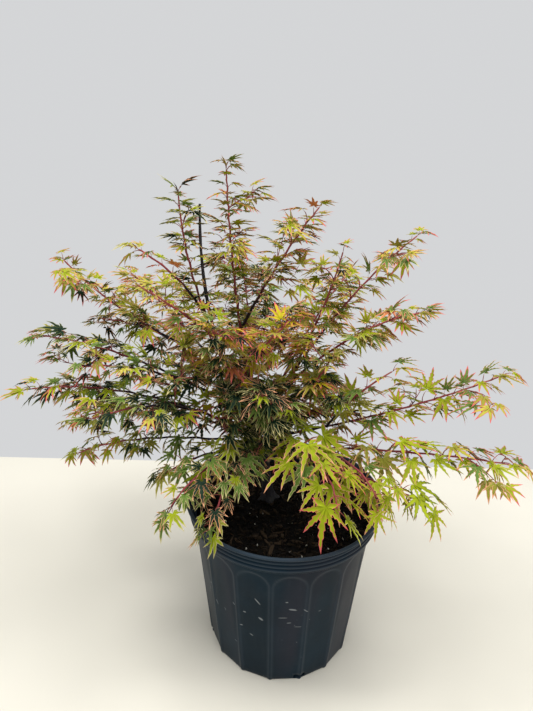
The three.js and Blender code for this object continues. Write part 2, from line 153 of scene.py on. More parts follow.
GREENS = {
    # deep is partly painted shade: the darkest leaf green, made darker and bluer like the shade inside
    # the crown
    "deep": (0.009, 0.027, 0.013),
    "mid": (0.108, 0.182, 0.028),
    "olive": (0.255, 0.242, 0.028),
    "lime": (0.290, 0.340, 0.010),
    # This bright green is partly the colour of new leaves and partly painted light, standing in for light
    # that shines through the upper leaves.
    "spring": (0.430, 0.410, 0.050),
    "gold": (0.470, 0.410, 0.010),
    "russet": (0.470, 0.165, 0.060),
}
RIMS = {
    "moss": (0.160, 0.170, 0.050),
    "cream": (0.500, 0.430, 0.190),
    "blush": (0.640, 0.310, 0.165),
    "rose": (0.590, 0.115, 0.110),
}
PALETTES = {
    # Painted light: the upright sprays at the top of the crown get the brightest greens, standing in for
    # light that shines through them.
    "upright": ({"deep": 2, "mid": 18, "olive": 16, "lime": 38, "spring": 24, "russet": 2},
                {"cream": 24, "blush": 50, "rose": 26}),
    "shaded": ({"deep": 34, "mid": 36, "olive": 15, "lime": 14, "russet": 1},
               {"moss": 20, "cream": 32, "blush": 38, "rose": 10}),
    "flushed": ({"deep": 3, "mid": 28, "olive": 16, "lime": 37, "spring": 15, "russet": 1},
                {"cream": 16, "blush": 52, "rose": 32}),
    "tier": ({"deep": 48, "mid": 36, "olive": 4, "lime": 12},
             {"moss": 30, "cream": 38, "blush": 28, "rose": 4}),
    "low": ({"deep": 14, "mid": 38, "olive": 16, "lime": 32},
            {"moss": 22, "cream": 44, "blush": 30, "rose": 4}),
    # Painted shade: this palette, like "shaded", is mostly deep green for the sprays inside and behind
    # the crown, where shade falls.
    "inner": ({"deep": 72, "mid": 6, "lime": 18, "gold": 3, "russet": 1},
              {"moss": 34, "cream": 46, "blush": 18, "rose": 2}),
    "glow": ({"deep": 14, "mid": 16, "lime": 28, "spring": 12, "gold": 28, "russet": 2},
             {"cream": 24, "blush": 52, "rose": 24}),
    "centre": ({"deep": 22, "mid": 26, "olive": 4, "lime": 28, "spring": 12, "gold": 6, "russet": 2},
               {"moss": 14, "cream": 32, "blush": 38, "rose": 16}),
    "front_left": ({"deep": 18, "mid": 52, "olive": 7, "lime": 23},
                   {"moss": 16, "cream": 52, "blush": 32}),
    "bright": ({"lime": 88, "mid": 12},
               {"moss": 14, "cream": 10, "blush": 46, "rose": 30}),
    "bright_right": ({"lime": 34, "mid": 43, "olive": 18, "spring": 3, "russet": 2},
                     {"moss": 8, "cream": 12, "blush": 44, "rose": 36}),
    "tips": ({"lime": 46, "spring": 22, "olive": 8, "mid": 22, "russet": 2}, {"blush": 40, "rose": 60}),
}
FLECKS = {"deep": 0.02, "mid": 0.26, "olive": 0.20}  # how pale the flecks of a green are
PALE_FLECK = (0.42, 0.40, 0.18)  # the cream of a variegated leaf
TIP_COLOURS = {"upright", "flushed", "bright_right", "tier", "low"}  # palettes with coloured tips


# ---------- settings ----------


def colour_setting(name, description, default):
    """A colour that the user may change."""
    return FloatVectorProperty(name=name, description=description, default=default,
                               size=3, min=0.0, max=1.0, subtype="COLOR")


def length_setting(name, description, default):
    """A length that the user may change, in metres."""
    return FloatProperty(name=name, description=description, default=default, min=0.0,
                         unit="LENGTH", precision=4)


class PottedMaplePot(bpy.types.PropertyGroup):
    """The nursery pot."""

    plastic: colour_setting("Plastic", "Colour of the moulded plastic", (0.0022, 0.0130, 0.0235))
    scuff: colour_setting("Scuffs", "Colour of rubbed and dusty plastic", (0.26, 0.28, 0.29))
    wall: length_setting("Wall", "Thickness of the pot's wall", 0.0022)
    ridge: length_setting("Ridges", "How far the rim's ridges stand out", 0.0015)
    facets: IntProperty(name="Facets", description="Flat sides of the body", default=16, min=3)


class PottedMapleSoil(bpy.types.PropertyGroup):
    """The potting mix."""

    soil: colour_setting("Soil", "Colour of the damp fines", (0.0040, 0.0032, 0.0026))
    chip: colour_setting("Chips", "Colour of the bark chips", (0.021, 0.0138, 0.0082))
    chips: IntProperty(name="Chips", description="Number of bark chips", default=1100, min=0)
    crumbs: IntProperty(name="Crumbs", description="Number of soil crumbs", default=2200, min=0)
    grains: IntProperty(name="Grains", description="Number of pale grains", default=70, min=0)


class PottedMapleWood(bpy.types.PropertyGroup):
    """Trunk, boughs and twigs."""

    old_bark: colour_setting("Old bark", "Colour of the trunk", (0.016, 0.0145, 0.0175))
    dark_bark: colour_setting("Dark bark", "Colour of the boughs", (0.020, 0.0105, 0.0145))
    young_bark: colour_setting("Young bark", "Colour of this year's shoots", (0.290, 0.050, 0.056))
    tip_bark: colour_setting("Shoot tips", "Colour of the newest growth", (0.36, 0.090, 0.080))
    cut_wood: colour_setting("Cut wood", "Colour of the old graft cut", (0.33, 0.23, 0.13))
    twig_spacing: length_setting("Twig spacing", "Distance between the nodes of a shoot", 0.0165)
    relief: FloatProperty(name="Relief", description="Depth of the bark's relief over its radius",
                          default=0.07, min=0.0, max=0.4, subtype="FACTOR")


class PottedMapleLeaves(bpy.types.PropertyGroup):
    """The foliage."""

    leaf_spacing: length_setting("Leaf spacing", "Distance between a twig's pairs of leaves", 0.0175)
    openness: FloatProperty(name="Openness", description="Width of the gaps between leaves",
                            default=0.79, min=0.3, max=3.0, subtype="FACTOR")
    size: FloatProperty(name="Leaf size", description="Size of all leaves", default=1.0,
                        min=0.1, max=3.0, subtype="FACTOR")
    petiole: colour_setting("Leaf stalks", "Colour of the leaf stalks", (0.23, 0.060, 0.045))
    seed: IntProperty(name="Seed", description="Another seed grows another plant", default=5, min=0)


class PottedMapleStage(bpy.types.PropertyGroup):
    """Floor, light and camera."""

    floor: colour_setting("Floor", "Colour of the floor", (0.78, 0.745, 0.645))
    air: colour_setting("Surroundings", "Colour of the soft light all round", (0.66, 0.668, 0.68))
    lamp: FloatProperty(name="Lamps", description="Power of the overhead lamps in watts",
                        default=15.0, min=0.0)


SETTINGS = {
    "potted_maple_pot": PottedMaplePot,
    "potted_maple_soil": PottedMapleSoil,
    "potted_maple_wood": PottedMapleWood,
    "potted_maple_leaves": PottedMapleLeaves,
    "potted_maple_stage": PottedMapleStage,
}


# ---------- materials ----------

BROWN_FLECK = (0.045, 0.026, 0.013)  # in the potting mix
PUFFED_WHITE, PUFFED_SOILED = (0.52, 0.50, 0.45), (0.22, 0.19, 0.15)  # the pale grains
SHOOT_PORE = (0.16, 0.09, 0.08)
BARK_BLOOM = (0.075, 0.068, 0.070)  # grey on the trunk


def arithmetic(operation, swapped=False):
    """An operator method that adds a Math node, for a value on its left or on its right."""

    def method(self, other):
        return self.math(operation, other, self) if swapped else self.math(operation, self, other)

    return method


class Value:
    """A value socket. Arithmetic on it adds the Math nodes."""

    __add__, __radd__ = arithmetic("ADD"), arithmetic("ADD", swapped=True)
    __sub__, __rsub__ = arithmetic("SUBTRACT"), arithmetic("SUBTRACT", swapped=True)
    __mul__, __rmul__ = arithmetic("MULTIPLY"), arithmetic("MULTIPLY", swapped=True)
    __pow__ = arithmetic("POWER")

    def __init__(self, graph, socket):
        self.graph = graph
        self.socket = socket

    def math(self, operation, *values, clamp=False):
        node = self.graph.add("ShaderNodeMath", {"operation": operation, "use_clamp": clamp},
                              dict(enumerate(values)))
        return Value(self.graph, node.outputs[0])

    def step(self, low, high):
        """0 below low, 1 above high and smooth between them."""
        node = self.graph.add("ShaderNodeMapRange", {"interpolation_type": "SMOOTHSTEP"},
                              {"Value": self, "From Min": low, "From Max": high})
        return Value(self.graph, node.outputs[0])


class Graph:
    """The nodes of one material, which ends in one Principled BSDF."""

    def __init__(self, name, specular):
        self.material = bpy.data.materials.new(name)
        self.material.use_nodes = True
        self.nodes = self.material.node_tree.nodes
        self.links = self.material.node_tree.links
        self.surface = self.nodes["Principled BSDF"]
        self.surface.inputs["Specular IOR Level"].default_value = specular
        self.place = self.add("ShaderNodeTexCoord").outputs["Object"]

    def feed(self, socket, value):
        """Links a socket, or sets its value."""
        if isinstance(value, Value):
            value = value.socket
        if isinstance(value, bpy.types.NodeSocket):
            self.links.new(value, socket)
        elif socket.type == "RGBA":
            socket.default_value = (*value[:3], 1.0)
        else:
            socket.default_value = value

    def add(self, kind, settings=None, inputs=None):
        """A node: its settings are made first, then its sockets get values or links."""
        node = self.nodes.new(kind)
        for key, value in (settings or {}).items():
            if key == "stops":
                self.set_stops(node.color_ramp, value)
            else:
                setattr(node, key, value)
        for key, value in (inputs or {}).items():
            self.feed(node.inputs[key], value)
        return node

    @staticmethod
    def set_stops(ramp, stops):
        """Gives a colour ramp its places and colours."""
        while len(ramp.elements) < len(stops):
            ramp.elements.new(1.0)
        for element, (position, colour) in zip(ramp.elements, stops):
            element.position = position
            element.color = (*colour, 1.0)

    def where(self, stretch):
        """Object coordinates, scaled along each axis if there is a stretch."""
        if not stretch:
            return self.place
        return self.add("ShaderNodeMapping", None, {"Vector": self.place, "Scale": stretch}).outputs[0]

    def noise(self, scale, detail=3.0, roughness=0.55, stretch=None):
        node = self.add("ShaderNodeTexNoise", None, {
            "Vector": self.where(stretch), "Scale": scale, "Detail": detail, "Roughness": roughness})
        return Value(self, node.outputs[0])

    def cells(self, scale, stretch=None):
        """Distance to the nearest of strewn points."""
        node = self.add("ShaderNodeTexVoronoi", None, {"Vector": self.where(stretch), "Scale": scale})
        return Value(self, node.outputs["Distance"])

    def mix(self, share, low, high):
        """A colour between two colours."""
        return self.add("ShaderNodeMix", {"data_type": "RGBA"}, {0: share, 6: low, 7: high}).outputs[2]

    def two_tone(self, value, low, high, colour, darker, lighter):
        """A colour from its darker to its lighter tint, as a value goes from low to high."""
        return self.mix(value.step(low, high), tinted(colour, darker), tinted(colour, lighter))

    def ramp(self, value, stops):
        return self.add("ShaderNodeValToRGB", {"stops": stops}, {"Fac": value}).outputs["Color"]

    def attribute(self, name):
        """A value kept on the mesh."""
        node = self.add("ShaderNodeAttribute", {"attribute_name": name})
        return Value(self, node.outputs["Fac"])

    def split_place(self):
        """The three object coordinates."""
        outputs = self.add("ShaderNodeSeparateXYZ", None, {0: self.place}).outputs
        return [Value(self, outputs[axis]) for axis in range(3)]

    def finish(self, colour, roughness, height=None, strength=0.0, distance=0.0):
        """Connects what changes over the surface, and returns the material."""
        self.feed(self.surface.inputs["Base Color"], colour)
        self.feed(self.surface.inputs["Roughness"], roughness)
        if height is not None:
            bump = self.add("ShaderNodeBump", None, {
                "Height": height, "Strength": strength, "Distance": distance})
            self.feed(self.surface.inputs["Normal"], bump.outputs[0])
        return self.material


def tinted(colour, factor):
    """A colour made lighter or darker."""
    return tuple(min(1.0, channel * factor) for channel in colour)


RIDGE_FOOT = 0.1332  # radius of the rim between its ridges
WALL_RADIUS = 0.12  # at which the scuffs are measured
DULLED = (0.021, 0.020, 0.031)  # plastic greyed by sun and handling
PAINTED_RIB_HIGHLIGHT = (0.046, 0.062, 0.080)  # painted highlight: the lighter bluish grey of the ribs and of the rim's ridges and lip
SCUFFS = (  # rubs: degrees round from the front, height, length and width in mm, tilt in degrees
    (-16, 152, 13, 2.2, -50), (6, 143, 12, 3.0, -12), (14, 140, 8, 1.6, -35), (0, 128, 13, 1.2, -2),
    (-14, 121, 9, 4.2, -30), (-25, 125, 5, 2.4, 0), (-33, 131, 6, 1.4, -45), (-56, 133, 5, 3.0, 60),
    (-58, 120, 6, 2.4, -40), (-50, 107, 8, 1.8, -55), (-42, 107, 6, 1.4, -65), (4, 118, 7, 1.4, 2),
    (10, 110, 10, 1.0, -4), (-28, 97, 5, 2.2, 10), (-21, 84, 7, 2.0, -28), (2, 157, 4, 2.2, 0),
    (-78, 150, 4, 2.0, 30), (-80, 172, 5, 1.8, 70), (-34, 57, 6, 1.2, -8), (24, 131, 4, 1.2, 15),
    (150, 140, 14, 2.2, -20), (120, 100, 9, 2.0, 35), (195, 120, 7, 3.0, -10), (235, 90, 12, 1.8, 25),
)


def pot_plastic(plastic, scuff):
    """Blow-moulded plastic: faint upright streaks, thin dust, rubbed places low on the wall, and a
    painted highlight on its ribs and along the rim's ridges and lip.
    """
    graph = Graph("pot_plastic", 0.08)
    across, depth, height = graph.split_place()
    turn = across.math("ARCTAN2", across, depth * -1.0)
    cloud = graph.noise(9.0, 4.0, 0.6)
    streaks = graph.noise(150.0, 2.0, 0.5, stretch=(1.0, 1.0, 0.03))
    patches = graph.noise(24.0, 4.0, 0.65)
    dust = patches.step(0.50, 0.78) * 0.022 + streaks.step(0.55, 0.8) * 0.012
    torn = graph.noise(170.0, 3.0, 0.7) - 0.5
    wear = dust
    for around, level, length, width, tilt in SCUFFS:
        around = (around + 180) % 360 - 180
        lean_x, lean_y = math.cos(math.radians(tilt)), math.sin(math.radians(tilt))
        aside = (turn - math.radians(around)) * (WALL_RADIUS / MM)
        above = (height - level * MM) * (1.0 / MM)
        along = (aside * lean_x + above * lean_y) * (2.0 / length)
        off = (above * lean_x - aside * lean_y) * (2.0 / width)
        edge = along * along + off * off + torn * 1.6
        wear = wear + (1.0 - edge.step(0.35, 1.1)) * 0.75
    specks = (1.0 - graph.cells(95.0).step(0.04, 0.09)) * cloud.step(0.52, 0.6)
    belt = height.step(0.03, 0.08) * (1.0 - height.step(0.15, 0.185))
    worn = wear.math("ADD", wear, specks * belt * 0.5, clamp=True)
    base = graph.two_tone(cloud, 0.35, 0.7, plastic, 0.8, 1.25)
    dulled = graph.noise(16.0, 2.0, 0.5, stretch=(1.0, 1.0, 0.14)).step(0.42, 0.68)
    base = graph.mix(dulled * 0.6, base, DULLED)
    radius = (across * across + depth * depth) ** 0.5
    # Painted highlight: the rim's ridge crests and lip, and the ribs kept in the "rubbed" layer, are
    # mixed towards a lighter bluish grey.
    crest = radius.step(RIDGE_FOOT, RIDGE_FOOT + 0.0014) * 0.6
    rubbed = crest.math("MAXIMUM", crest, graph.attribute("rubbed") * 0.34)
    base = graph.mix(rubbed * (0.6 + cloud * 0.6), base, PAINTED_RIB_HIGHLIGHT)
    colour = graph.mix(worn, base, scuff)
    roughness = 0.34 + worn * 0.35 + patches * 0.10
    relief = graph.noise(420.0, 2.0, 0.5) * 0.25 + streaks * 0.5 + cloud * 1.2
    return graph.finish(colour, roughness, relief, 0.22, 0.0009)


def potting_mix(soil):
    """Damp dark fines with brown flecks."""
    graph = Graph("potting_mix", 0.1)
    grain = graph.noise(260.0, 4.0, 0.7)
    clumps = graph.noise(70.0, 3.0, 0.6)
    flecks = 1.0 - graph.cells(240.0).step(0.12, 0.24)
    colour = graph.two_tone(grain, 0.35, 0.7, soil, 0.45, 1.7)
    colour = graph.mix(flecks * clumps.step(0.5, 0.65) * 0.8, colour, BROWN_FLECK)
    return graph.finish(colour, 0.72 + grain * 0.25, grain + clumps * 2.0, 0.9, 0.002)


def bark_chip(name, colour):
    """Torn bark: fine fibres, some of them lighter, over a broad shift of tone."""
    graph = Graph(name, 0.1)
    fibres = graph.noise(330.0, 3.0, 0.65)
    tone = graph.noise(55.0, 2.0, 0.5)
    shade = graph.two_tone(tone, 0.3, 0.7, colour, 0.4, 1.7)
    shade = graph.mix(fibres.step(0.5, 0.75) * 0.5, shade, tinted(colour, 2.3))
    return graph.finish(shade, 0.7 + fibres * 0.2, fibres, 0.6, 0.0008)


def pale_grain():
    """White puffed rock grains, a little soiled."""
    graph = Graph("pale_grain", 0.3)
    soiled = graph.noise(400.0, 3.0, 0.6)
    colour = graph.mix(soiled.step(0.4, 0.7), PUFFED_WHITE, PUFFED_SOILED)
    return graph.finish(colour, 0.85 + soiled * 0.1, soiled, 0.6, 0.0006)


def trunk_bark(colour):
    """Smooth old bark: faint upright fissures, a grey bloom and small raised pores."""
    graph = Graph("trunk_bark", 0.35)
    fissures = graph.noise(190.0, 4.0, 0.6, stretch=(1.0, 1.0, 0.16))
    bloom = graph.noise(60.0, 4.0, 0.65)
    pores = 1.0 - graph.cells(620.0, stretch=(1.0, 1.0, 1.8)).step(0.10, 0.22)
    tone = graph.two_tone(fissures, 0.35, 0.7, colour, 0.6, 1.5)
    tone = graph.mix(bloom.step(0.52, 0.75) * 0.35, tone, BARK_BLOOM)
    tone = graph.mix(pores * 0.45, tone, tinted(BARK_BLOOM, 1.3))
    relief = fissures * 1.2 + pores * 0.6
    return graph.finish(tone, 0.58 + bloom * 0.2, relief, 0.7, 0.0007)


def shoot_bark(dark, young, tip):
    """Shoot bark: near-black on old wood and red on new, by the youth kept along each limb."""
    graph = Graph("shoot_bark", 0.2)
    youth = graph.attribute("youth")
    mottle = graph.noise(140.0, 3.0, 0.6)
    pores = 1.0 - graph.cells(900.0, stretch=(1.0, 1.0, 1.4)).step(0.08, 0.2)
    colour = graph.ramp(youth + (mottle - 0.5) * 0.22, (
        (0.0, tinted(dark, 0.75)), (0.18, dark), (0.38, tinted(young, 0.45)), (0.62, young), (1.0, tip)))
    colour = graph.mix(pores * 0.35, colour, SHOOT_PORE)
    relief = mottle * 0.7 + pores
    return graph.finish(colour, 0.42 + mottle * 0.18, relief, 0.5, 0.0004)


def stalk_skin(name, colour, tip):
    """Thin young skin of twigs and leaf stalks."""
    graph = Graph(name, 0.2)
    tone = graph.noise(45.0, 2.0, 0.5)
    grain = graph.noise(500.0, 2.0, 0.5)
    shade = graph.mix(tone.step(0.35, 0.65), colour, tip)
    return graph.finish(shade, 0.42 + grain * 0.12, grain, 0.2, 0.0003)


def leaf_skin(name, colour, contrast, flecks=0.0):
    """Leaf surface: a soft shift of tone between leaves, pale flecks and a fine quilting."""
    graph = Graph(name, 0.1)
    tone = graph.noise(38.0, 2.0, 0.6)
    quilt = graph.noise(420.0, 2.0, 0.5)
    shade = graph.two_tone(tone, 0.3, 0.7, colour, 1.0 - contrast, 1.0 + contrast)
    if flecks:
        shade = graph.mix(graph.noise(210.0, 2.0, 0.6).step(0.52, 0.66) * flecks, shade, PALE_FLECK)
    return graph.finish(shade, 0.46 + quilt * 0.16, quilt, 0.25, 0.0004)


def cut_wood(colour):
    """A weathered saw cut with a fine mottle of tone."""
    graph = Graph("cut_wood", 0.25)
    rings = graph.noise(700.0, 3.0, 0.6)
    shade = graph.two_tone(rings, 0.35, 0.7, colour, 0.55, 1.25)
    return graph.finish(shade, 0.75 + rings * 0.1, rings, 0.5, 0.0004)


def floor_paint(colour):
    """A matt pale floor with the faintest unevenness."""
    graph = Graph("pale_floor", 0.2)
    tone = graph.noise(2.2, 3.0, 0.6)
    shade = graph.two_tone(tone, 0.3, 0.7, colour, 0.975, 1.01)
    return graph.finish(shade, 0.8 + tone * 0.1)


# ---------- meshes ----------


class Shape(NamedTuple):
    """A mesh as arrays: its points, its triangles, and which of its materials each triangle has."""

    points: np.ndarray
    triangles: np.ndarray
    tags: np.ndarray


def shape_of(mesh):
    """Turns a finished bmesh into arrays and frees it."""
    bmesh.ops.triangulate(mesh, faces=mesh.faces)
    mesh.verts.index_update()
    points = np.array([vert.co for vert in mesh.verts], float)
    triangles = np.array([[vert.index for vert in face.verts] for face in mesh.faces], int)
    tags = np.array([face.material_index for face in mesh.faces], int)
    mesh.free()
    return Shape(points, triangles, tags)


def tagged(shape, tag):
    """Only the triangles of one tag, with the points that they use."""
    triangles = shape.triangles[shape.tags == tag]
    used, index = np.unique(triangles, return_inverse=True)
    return Shape(shape.points[used], index.reshape(-1, 3), np.zeros(len(triangles), int))


def joined(parts):
    """Several (points, triangles) as one."""
    points, triangles, first = [], [], 0
    for part_points, part_triangles in parts:
        points.append(part_points)
        triangles.append(part_triangles + first)
        first += len(part_points)
    return np.concatenate(points), np.concatenate(triangles)


def stamp(shape, turns, places):
    """Copies of a shape, each turned and scaled by a 3x3 matrix and moved to its place."""
    points = np.einsum("nij,vj->nvi", turns, shape.points) + places[:, None, :]
    first = np.arange(len(places))[:, None, None] * len(shape.points)
    triangles = shape.triangles[None, :, :] + first
    return points.reshape(-1, 3), triangles.reshape(-1, 3)


def keep_piece(mesh, name, material, nodes, smooth=True):
    """Puts a mesh in the scene as a piece that rides on the body and stands for CAD nodes."""
    mesh.materials.append(material)
    mesh.polygons.foreach_set("use_smooth", [smooth] * len(mesh.polygons))
    piece = bpy.data.objects.new(name, mesh)
    bpy.context.scene.collection.objects.link(piece)
    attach(piece, BODY)
    if nodes:
        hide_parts(*nodes)
    return piece


def piece_from_arrays(name, parts, material, nodes=(), smooth=True):
    """One joined piece from many stamped or swept parts."""
    points, triangles = joined(parts)
    mesh = bpy.data.meshes.new(name)
    mesh.from_pydata(points.tolist(), [], triangles.tolist())
    mesh.update()
    return keep_piece(mesh, name, material, nodes, smooth)


def piece_from_bmesh(name, mesh, material, nodes=()):
    """One piece from a finished bmesh, which is freed."""
    data = bpy.data.meshes.new(name)
    mesh.to_mesh(data)
    mesh.free()
    return keep_piece(data, name, material, nodes)


def ring_edges(verts):
    """The edges between the verts of one ring."""
    ring = set(verts)
    return [edge for edge in {edge for vert in verts for edge in vert.link_edges}
            if edge.verts[0] in ring and edge.verts[1] in ring]


def extruded(mesh, edges):
    """Extrudes a chain or ring of edges, and returns the new verts and edges."""
    made = bmesh.ops.extrude_edge_only(mesh, edges=edges)["geom"]
    verts = [item for item in made if isinstance(item, bmesh.types.BMVert)]
    return verts, ring_edges(verts)


# ---------- paths ----------


def unit(vector):
    """A vector made 1 long."""
    return vector / max(1e-9, np.linalg.norm(vector))


def path_length(path):
    """The distance from a path's start to each of its points."""
    return np.concatenate([[0.0], np.cumsum(np.linalg.norm(np.diff(path, axis=0), axis=1))])


def resampled(path, spacing, *others):
    """Evenly spaced points on a path, and other values along it at those points."""
    along = path_length(path)
    count = max(2, round(along[-1] / spacing) + 1)
    at = np.linspace(0.0, along[-1], count)
    points = np.stack([np.interp(at, along, path[:, axis]) for axis in range(3)], axis=1)
    return [points] + [np.interp(at, along, other) for other in others]


def rounded(path, passes):
    """A path with its corners rounded off. Its ends stay."""
    for _ in range(passes):
        path = np.concatenate([path[:1], 0.25 * path[:-2] + 0.5 * path[1:-1] + 0.25 * path[2:],
                               path[-1:]])
    return path


def tangents(path):
    """The direction of a path at each of its points."""
    steps = np.gradient(path, axis=0)
    return steps / np.maximum(1e-9, np.linalg.norm(steps, axis=1))[:, None]


def bent(start, middle, end, count=24):
    """A quadratic curve's points."""
    share = np.linspace(0.0, 1.0, count)[:, None]
    return (1 - share) ** 2 * start + 2 * share * (1 - share) * middle + share ** 2 * end


LOOK = 4 * MM  # along a path on each side of a point, for its direction there


def at_length(path, distance):
    """The point and direction at a distance along a path."""
    along = path_length(path)
    point = np.array([np.interp(distance, along, path[:, axis]) for axis in range(3)])
    ahead = np.array([np.interp(distance + LOOK, along, path[:, axis]) for axis in range(3)])
    behind = np.array([np.interp(distance - LOOK, along, path[:, axis]) for axis in range(3)])
    return point, unit(ahead - behind)


# ---------- limbs of the frame ----------


class Limb(NamedTuple):
    """A limb as a path, its radius and its youth, 0 for old wood and 1 for new, at each point."""

    path: np.ndarray
    radius: np.ndarray
    youth: np.ndarray


def opened(name):
    """A CAD node's mesh with its points merged."""
    mesh = bmesh.new()
    mesh.from_mesh(frame["nodes"][name].data)
    bmesh.ops.remove_doubles(mesh, verts=mesh.verts, dist=1e-5)
    return mesh


def node_edges(name):
    """The two ends of every edge of a CAD node, and its points."""
    mesh = opened(name)
    ends = np.array([[vert.co for vert in edge.verts] for edge in mesh.edges], float)
    points = np.array([vert.co for vert in mesh.verts], float)
    mesh.free()
    return ends, points


def cross_section(ends, point, normal):
    """Centre and radius of a node's cross-section by a plane, or None where it misses."""
    low = (ends[:, 0] - point) @ normal
    high = (ends[:, 1] - point) @ normal
    crossing = low * high < 0
    if crossing.sum() < 3:
        return None
    share = (low / (low - high))[crossing][:, None]
    places = ends[crossing, 0] * (1 - share) + ends[crossing, 1] * share
    centre = places.mean(0)
    return centre, np.linalg.norm(places - centre, axis=1).mean()


END_CAP = 4 * MM  # depth of the points that belong to a limb's end
SLICES, SLICE_MARGIN = 9, 0.06  # cross-sections of a limb, and share of its length before the first


def limb_line(name):
    """The centreline and radii of a CAD limb, read from its cross-sections."""
    ends, points = node_edges(name)
    middle = points.mean(0)
    axis = np.linalg.svd(points - middle)[2][0]
    along = (points - middle) @ axis
    low = points[along < along.min() + END_CAP].mean(0)
    high = points[along > along.max() - END_CAP].mean(0)
    chord = high - low
    centres, radii = [], []
    for share in np.linspace(SLICE_MARGIN, 1 - SLICE_MARGIN, SLICES):
        found = cross_section(ends, low + chord * share, unit(chord))
        if found:
            centres.append(found[0])
            radii.append(found[1])
    centres = np.array([low, *centres, high])
    radii = np.array([radii[0], *radii, radii[-1]])
    return rounded(centres, 1), radii


def nearest_on(path, point):
    """Distance to a path and the index of its nearest point."""
    gaps = np.linalg.norm(path - point, axis=1)
    return gaps.min(), int(gaps.argmin())


LIMB_STEP = 4 * MM  # between the points of a limb's centreline


def frame_limbs():
    """Every CAD limb's centreline from its base on, found by joining each to the wood before it."""
    path, radius = limb_line("trunk")
    if path[0][2] > path[-1][2]:
        path, radius = path[::-1], radius[::-1]
    limbs = {"trunk": resampled(path, LIMB_STEP, radius)}
    waiting = {name.removeprefix("bough_"): limb_line(name) for name in WOOD_NODES}
    waiting["cut_stem"] = limb_line("cut_stem")
    while waiting:
        best = None
        for name, (path, radius) in waiting.items():
            for turned in (False, True):
                end = path[-1] if turned else path[0]
                for parent, (line, _) in limbs.items():
                    gap, index = nearest_on(line, end)
                    if best is None or gap < best[0]:
                        best = (gap, name, turned, parent, index)
        _, name, turned, parent, index = best
        path, radius = waiting.pop(name)
        if turned:
            path, radius = path[::-1], radius[::-1]
        start = limbs[parent][0][index]
        path = np.concatenate([[start], path])
        radius = np.concatenate([[radius[0]], radius])
        limbs[name] = resampled(path, LIMB_STEP, radius)
    return limbs


class Mass:
    """The closed solid that one spray of leaves fills."""

    MARGIN = 14 * MM  # by which the middles of a twig's leaves may stand outside it
    WIDE_MARGIN = 15 * MM  # the same for leaves on the main shoot
    SPACING = 8 * MM  # between the places that its leaves should cover

    def __init__(self, name):
        self.ends, self.points = node_edges(f"foliage_{name}")
        mesh = opened(f"foliage_{name}")
        self.tree = BVHTree.FromBMesh(mesh)
        mesh.free()

    def holds(self, point, margin=MARGIN):
        """Whether a place is in the mass or just outside it."""
        place = Vector(point)
        if self.tree.find_nearest(place, margin)[0]:
            return True
        normal = self.tree.ray_cast(place, Vector(UP))[1]
        return normal is not None and normal.z > 0

    def spots(self, rng):
        """Places strewn evenly through the mass."""
        low, high = self.points.min(0) - self.MARGIN, self.points.max(0) + self.MARGIN
        axes = [np.arange(start, end, self.SPACING) for start, end in zip(low, high)]
        grid = np.stack(np.meshgrid(*axes, indexing="ij"), axis=-1).reshape(-1, 3)
        grid += rng.uniform(-0.5, 0.5, grid.shape) * self.SPACING
        return [point for point in grid if self.holds(point)]

    def middle_of(self, start, end):
        """The middle of the mass, halfway between two places."""
        found = cross_section(self.ends, (start + end) / 2, unit(end - start))
        return found[0] if found else (start + end) / 2

    def farthest(self, start):
        """The corner of the mass that is farthest from a place."""
        return self.points[np.linalg.norm(self.points - start, axis=1).argmax()]


# ---------- growth ----------


class Leaf(NamedTuple):
    """A leaf: where its stalk starts, where its blade starts, how it is turned and coloured."""

    foot: np.ndarray
    heart: np.ndarray
    forward: np.ndarray
    normal: np.ndarray
    size: float
    green: str
    rim: str
    large: bool
    spray: str


class Twig(NamedTuple):
    """A thin shoot without bark relief."""

    path: np.ndarray
    base: float
    tip: float
    youth: float


LEAST_LEAN = 0.6  # least cosine between a bough's end and the way to its mass's far end
FORK_SLACK = 1.5 * MM  # a side spray forks where its parent is nearest its mass, give or take
FORK_RADIUS = 1.8 * MM
SHOOT_BASE, SHOOT_TIP = 2.0 * MM, 0.85 * MM  # radii of a main shoot
SHOOT_STEP = 2.5 * MM  # between the rings of a main shoot
FIRST_NODE = 0.2  # share of a bough that has no nodes
FIRST_LEAF = 0.3  # share of a main shoot that has no leaves
NO_NODE = 4 * MM  # length of a main shoot's tip without nodes
SWAY = 0.7 * MM  # by which a shoot turns aside at its nodes
KNUCKLE, SWELL = 1.6 * MM, 0.22  # length of the knuckle at a node, and how much thicker it is
LONGEST_TWIG, SHORTEST_TWIG = 80 * MM, 9 * MM
TWIG_CURVE = 0.35  # how much a twig starts out along its shoot
TWIG_STEP = 4 * MM  # between the rings of a twig
TWIG_BASE, TWIG_TIP = 0.5 * MM, 0.42 * MM  # radii of the shortest twig
TWIG_TAPER = 0.010  # how much thicker a twig starts over its length
LEAF_REACH = 0.9  # share of a leaf's length by which a twig may end before its place
TWIG_FOOT = 14 * MM  # from a twig's start to its first leaves
TWIG_END = 5 * MM  # length of a twig's tip without nodes
BARE_LENGTH = 26 * MM  # length of a twig for each leaf that it must bear
TWIN_GAP = 0.8  # share of its spray's gap at which a twig's twin grows too
QUARTER_TURN = 90  # degrees between the pairs of leaves along a shoot
PAIR_ANGLE, END_ANGLE, LAST_ANGLE = 52, 34, 8  # degrees between a shoot and its leaves' stalks
TIP_SHRINK, TWIG_SHRINK = 0.25, 0.12  # how much smaller leaves get towards a main shoot's or twig's tip
END_SIZE, LAST_SIZE = 0.82, 0.66  # of the leaves at a shoot's end, as shares of the others
LAST_SHARE = 0.6  # of shoots that end in a leaf straight on
LARGE_LEAF = 29.0  # millimetres from which a leaf gets its finer teeth
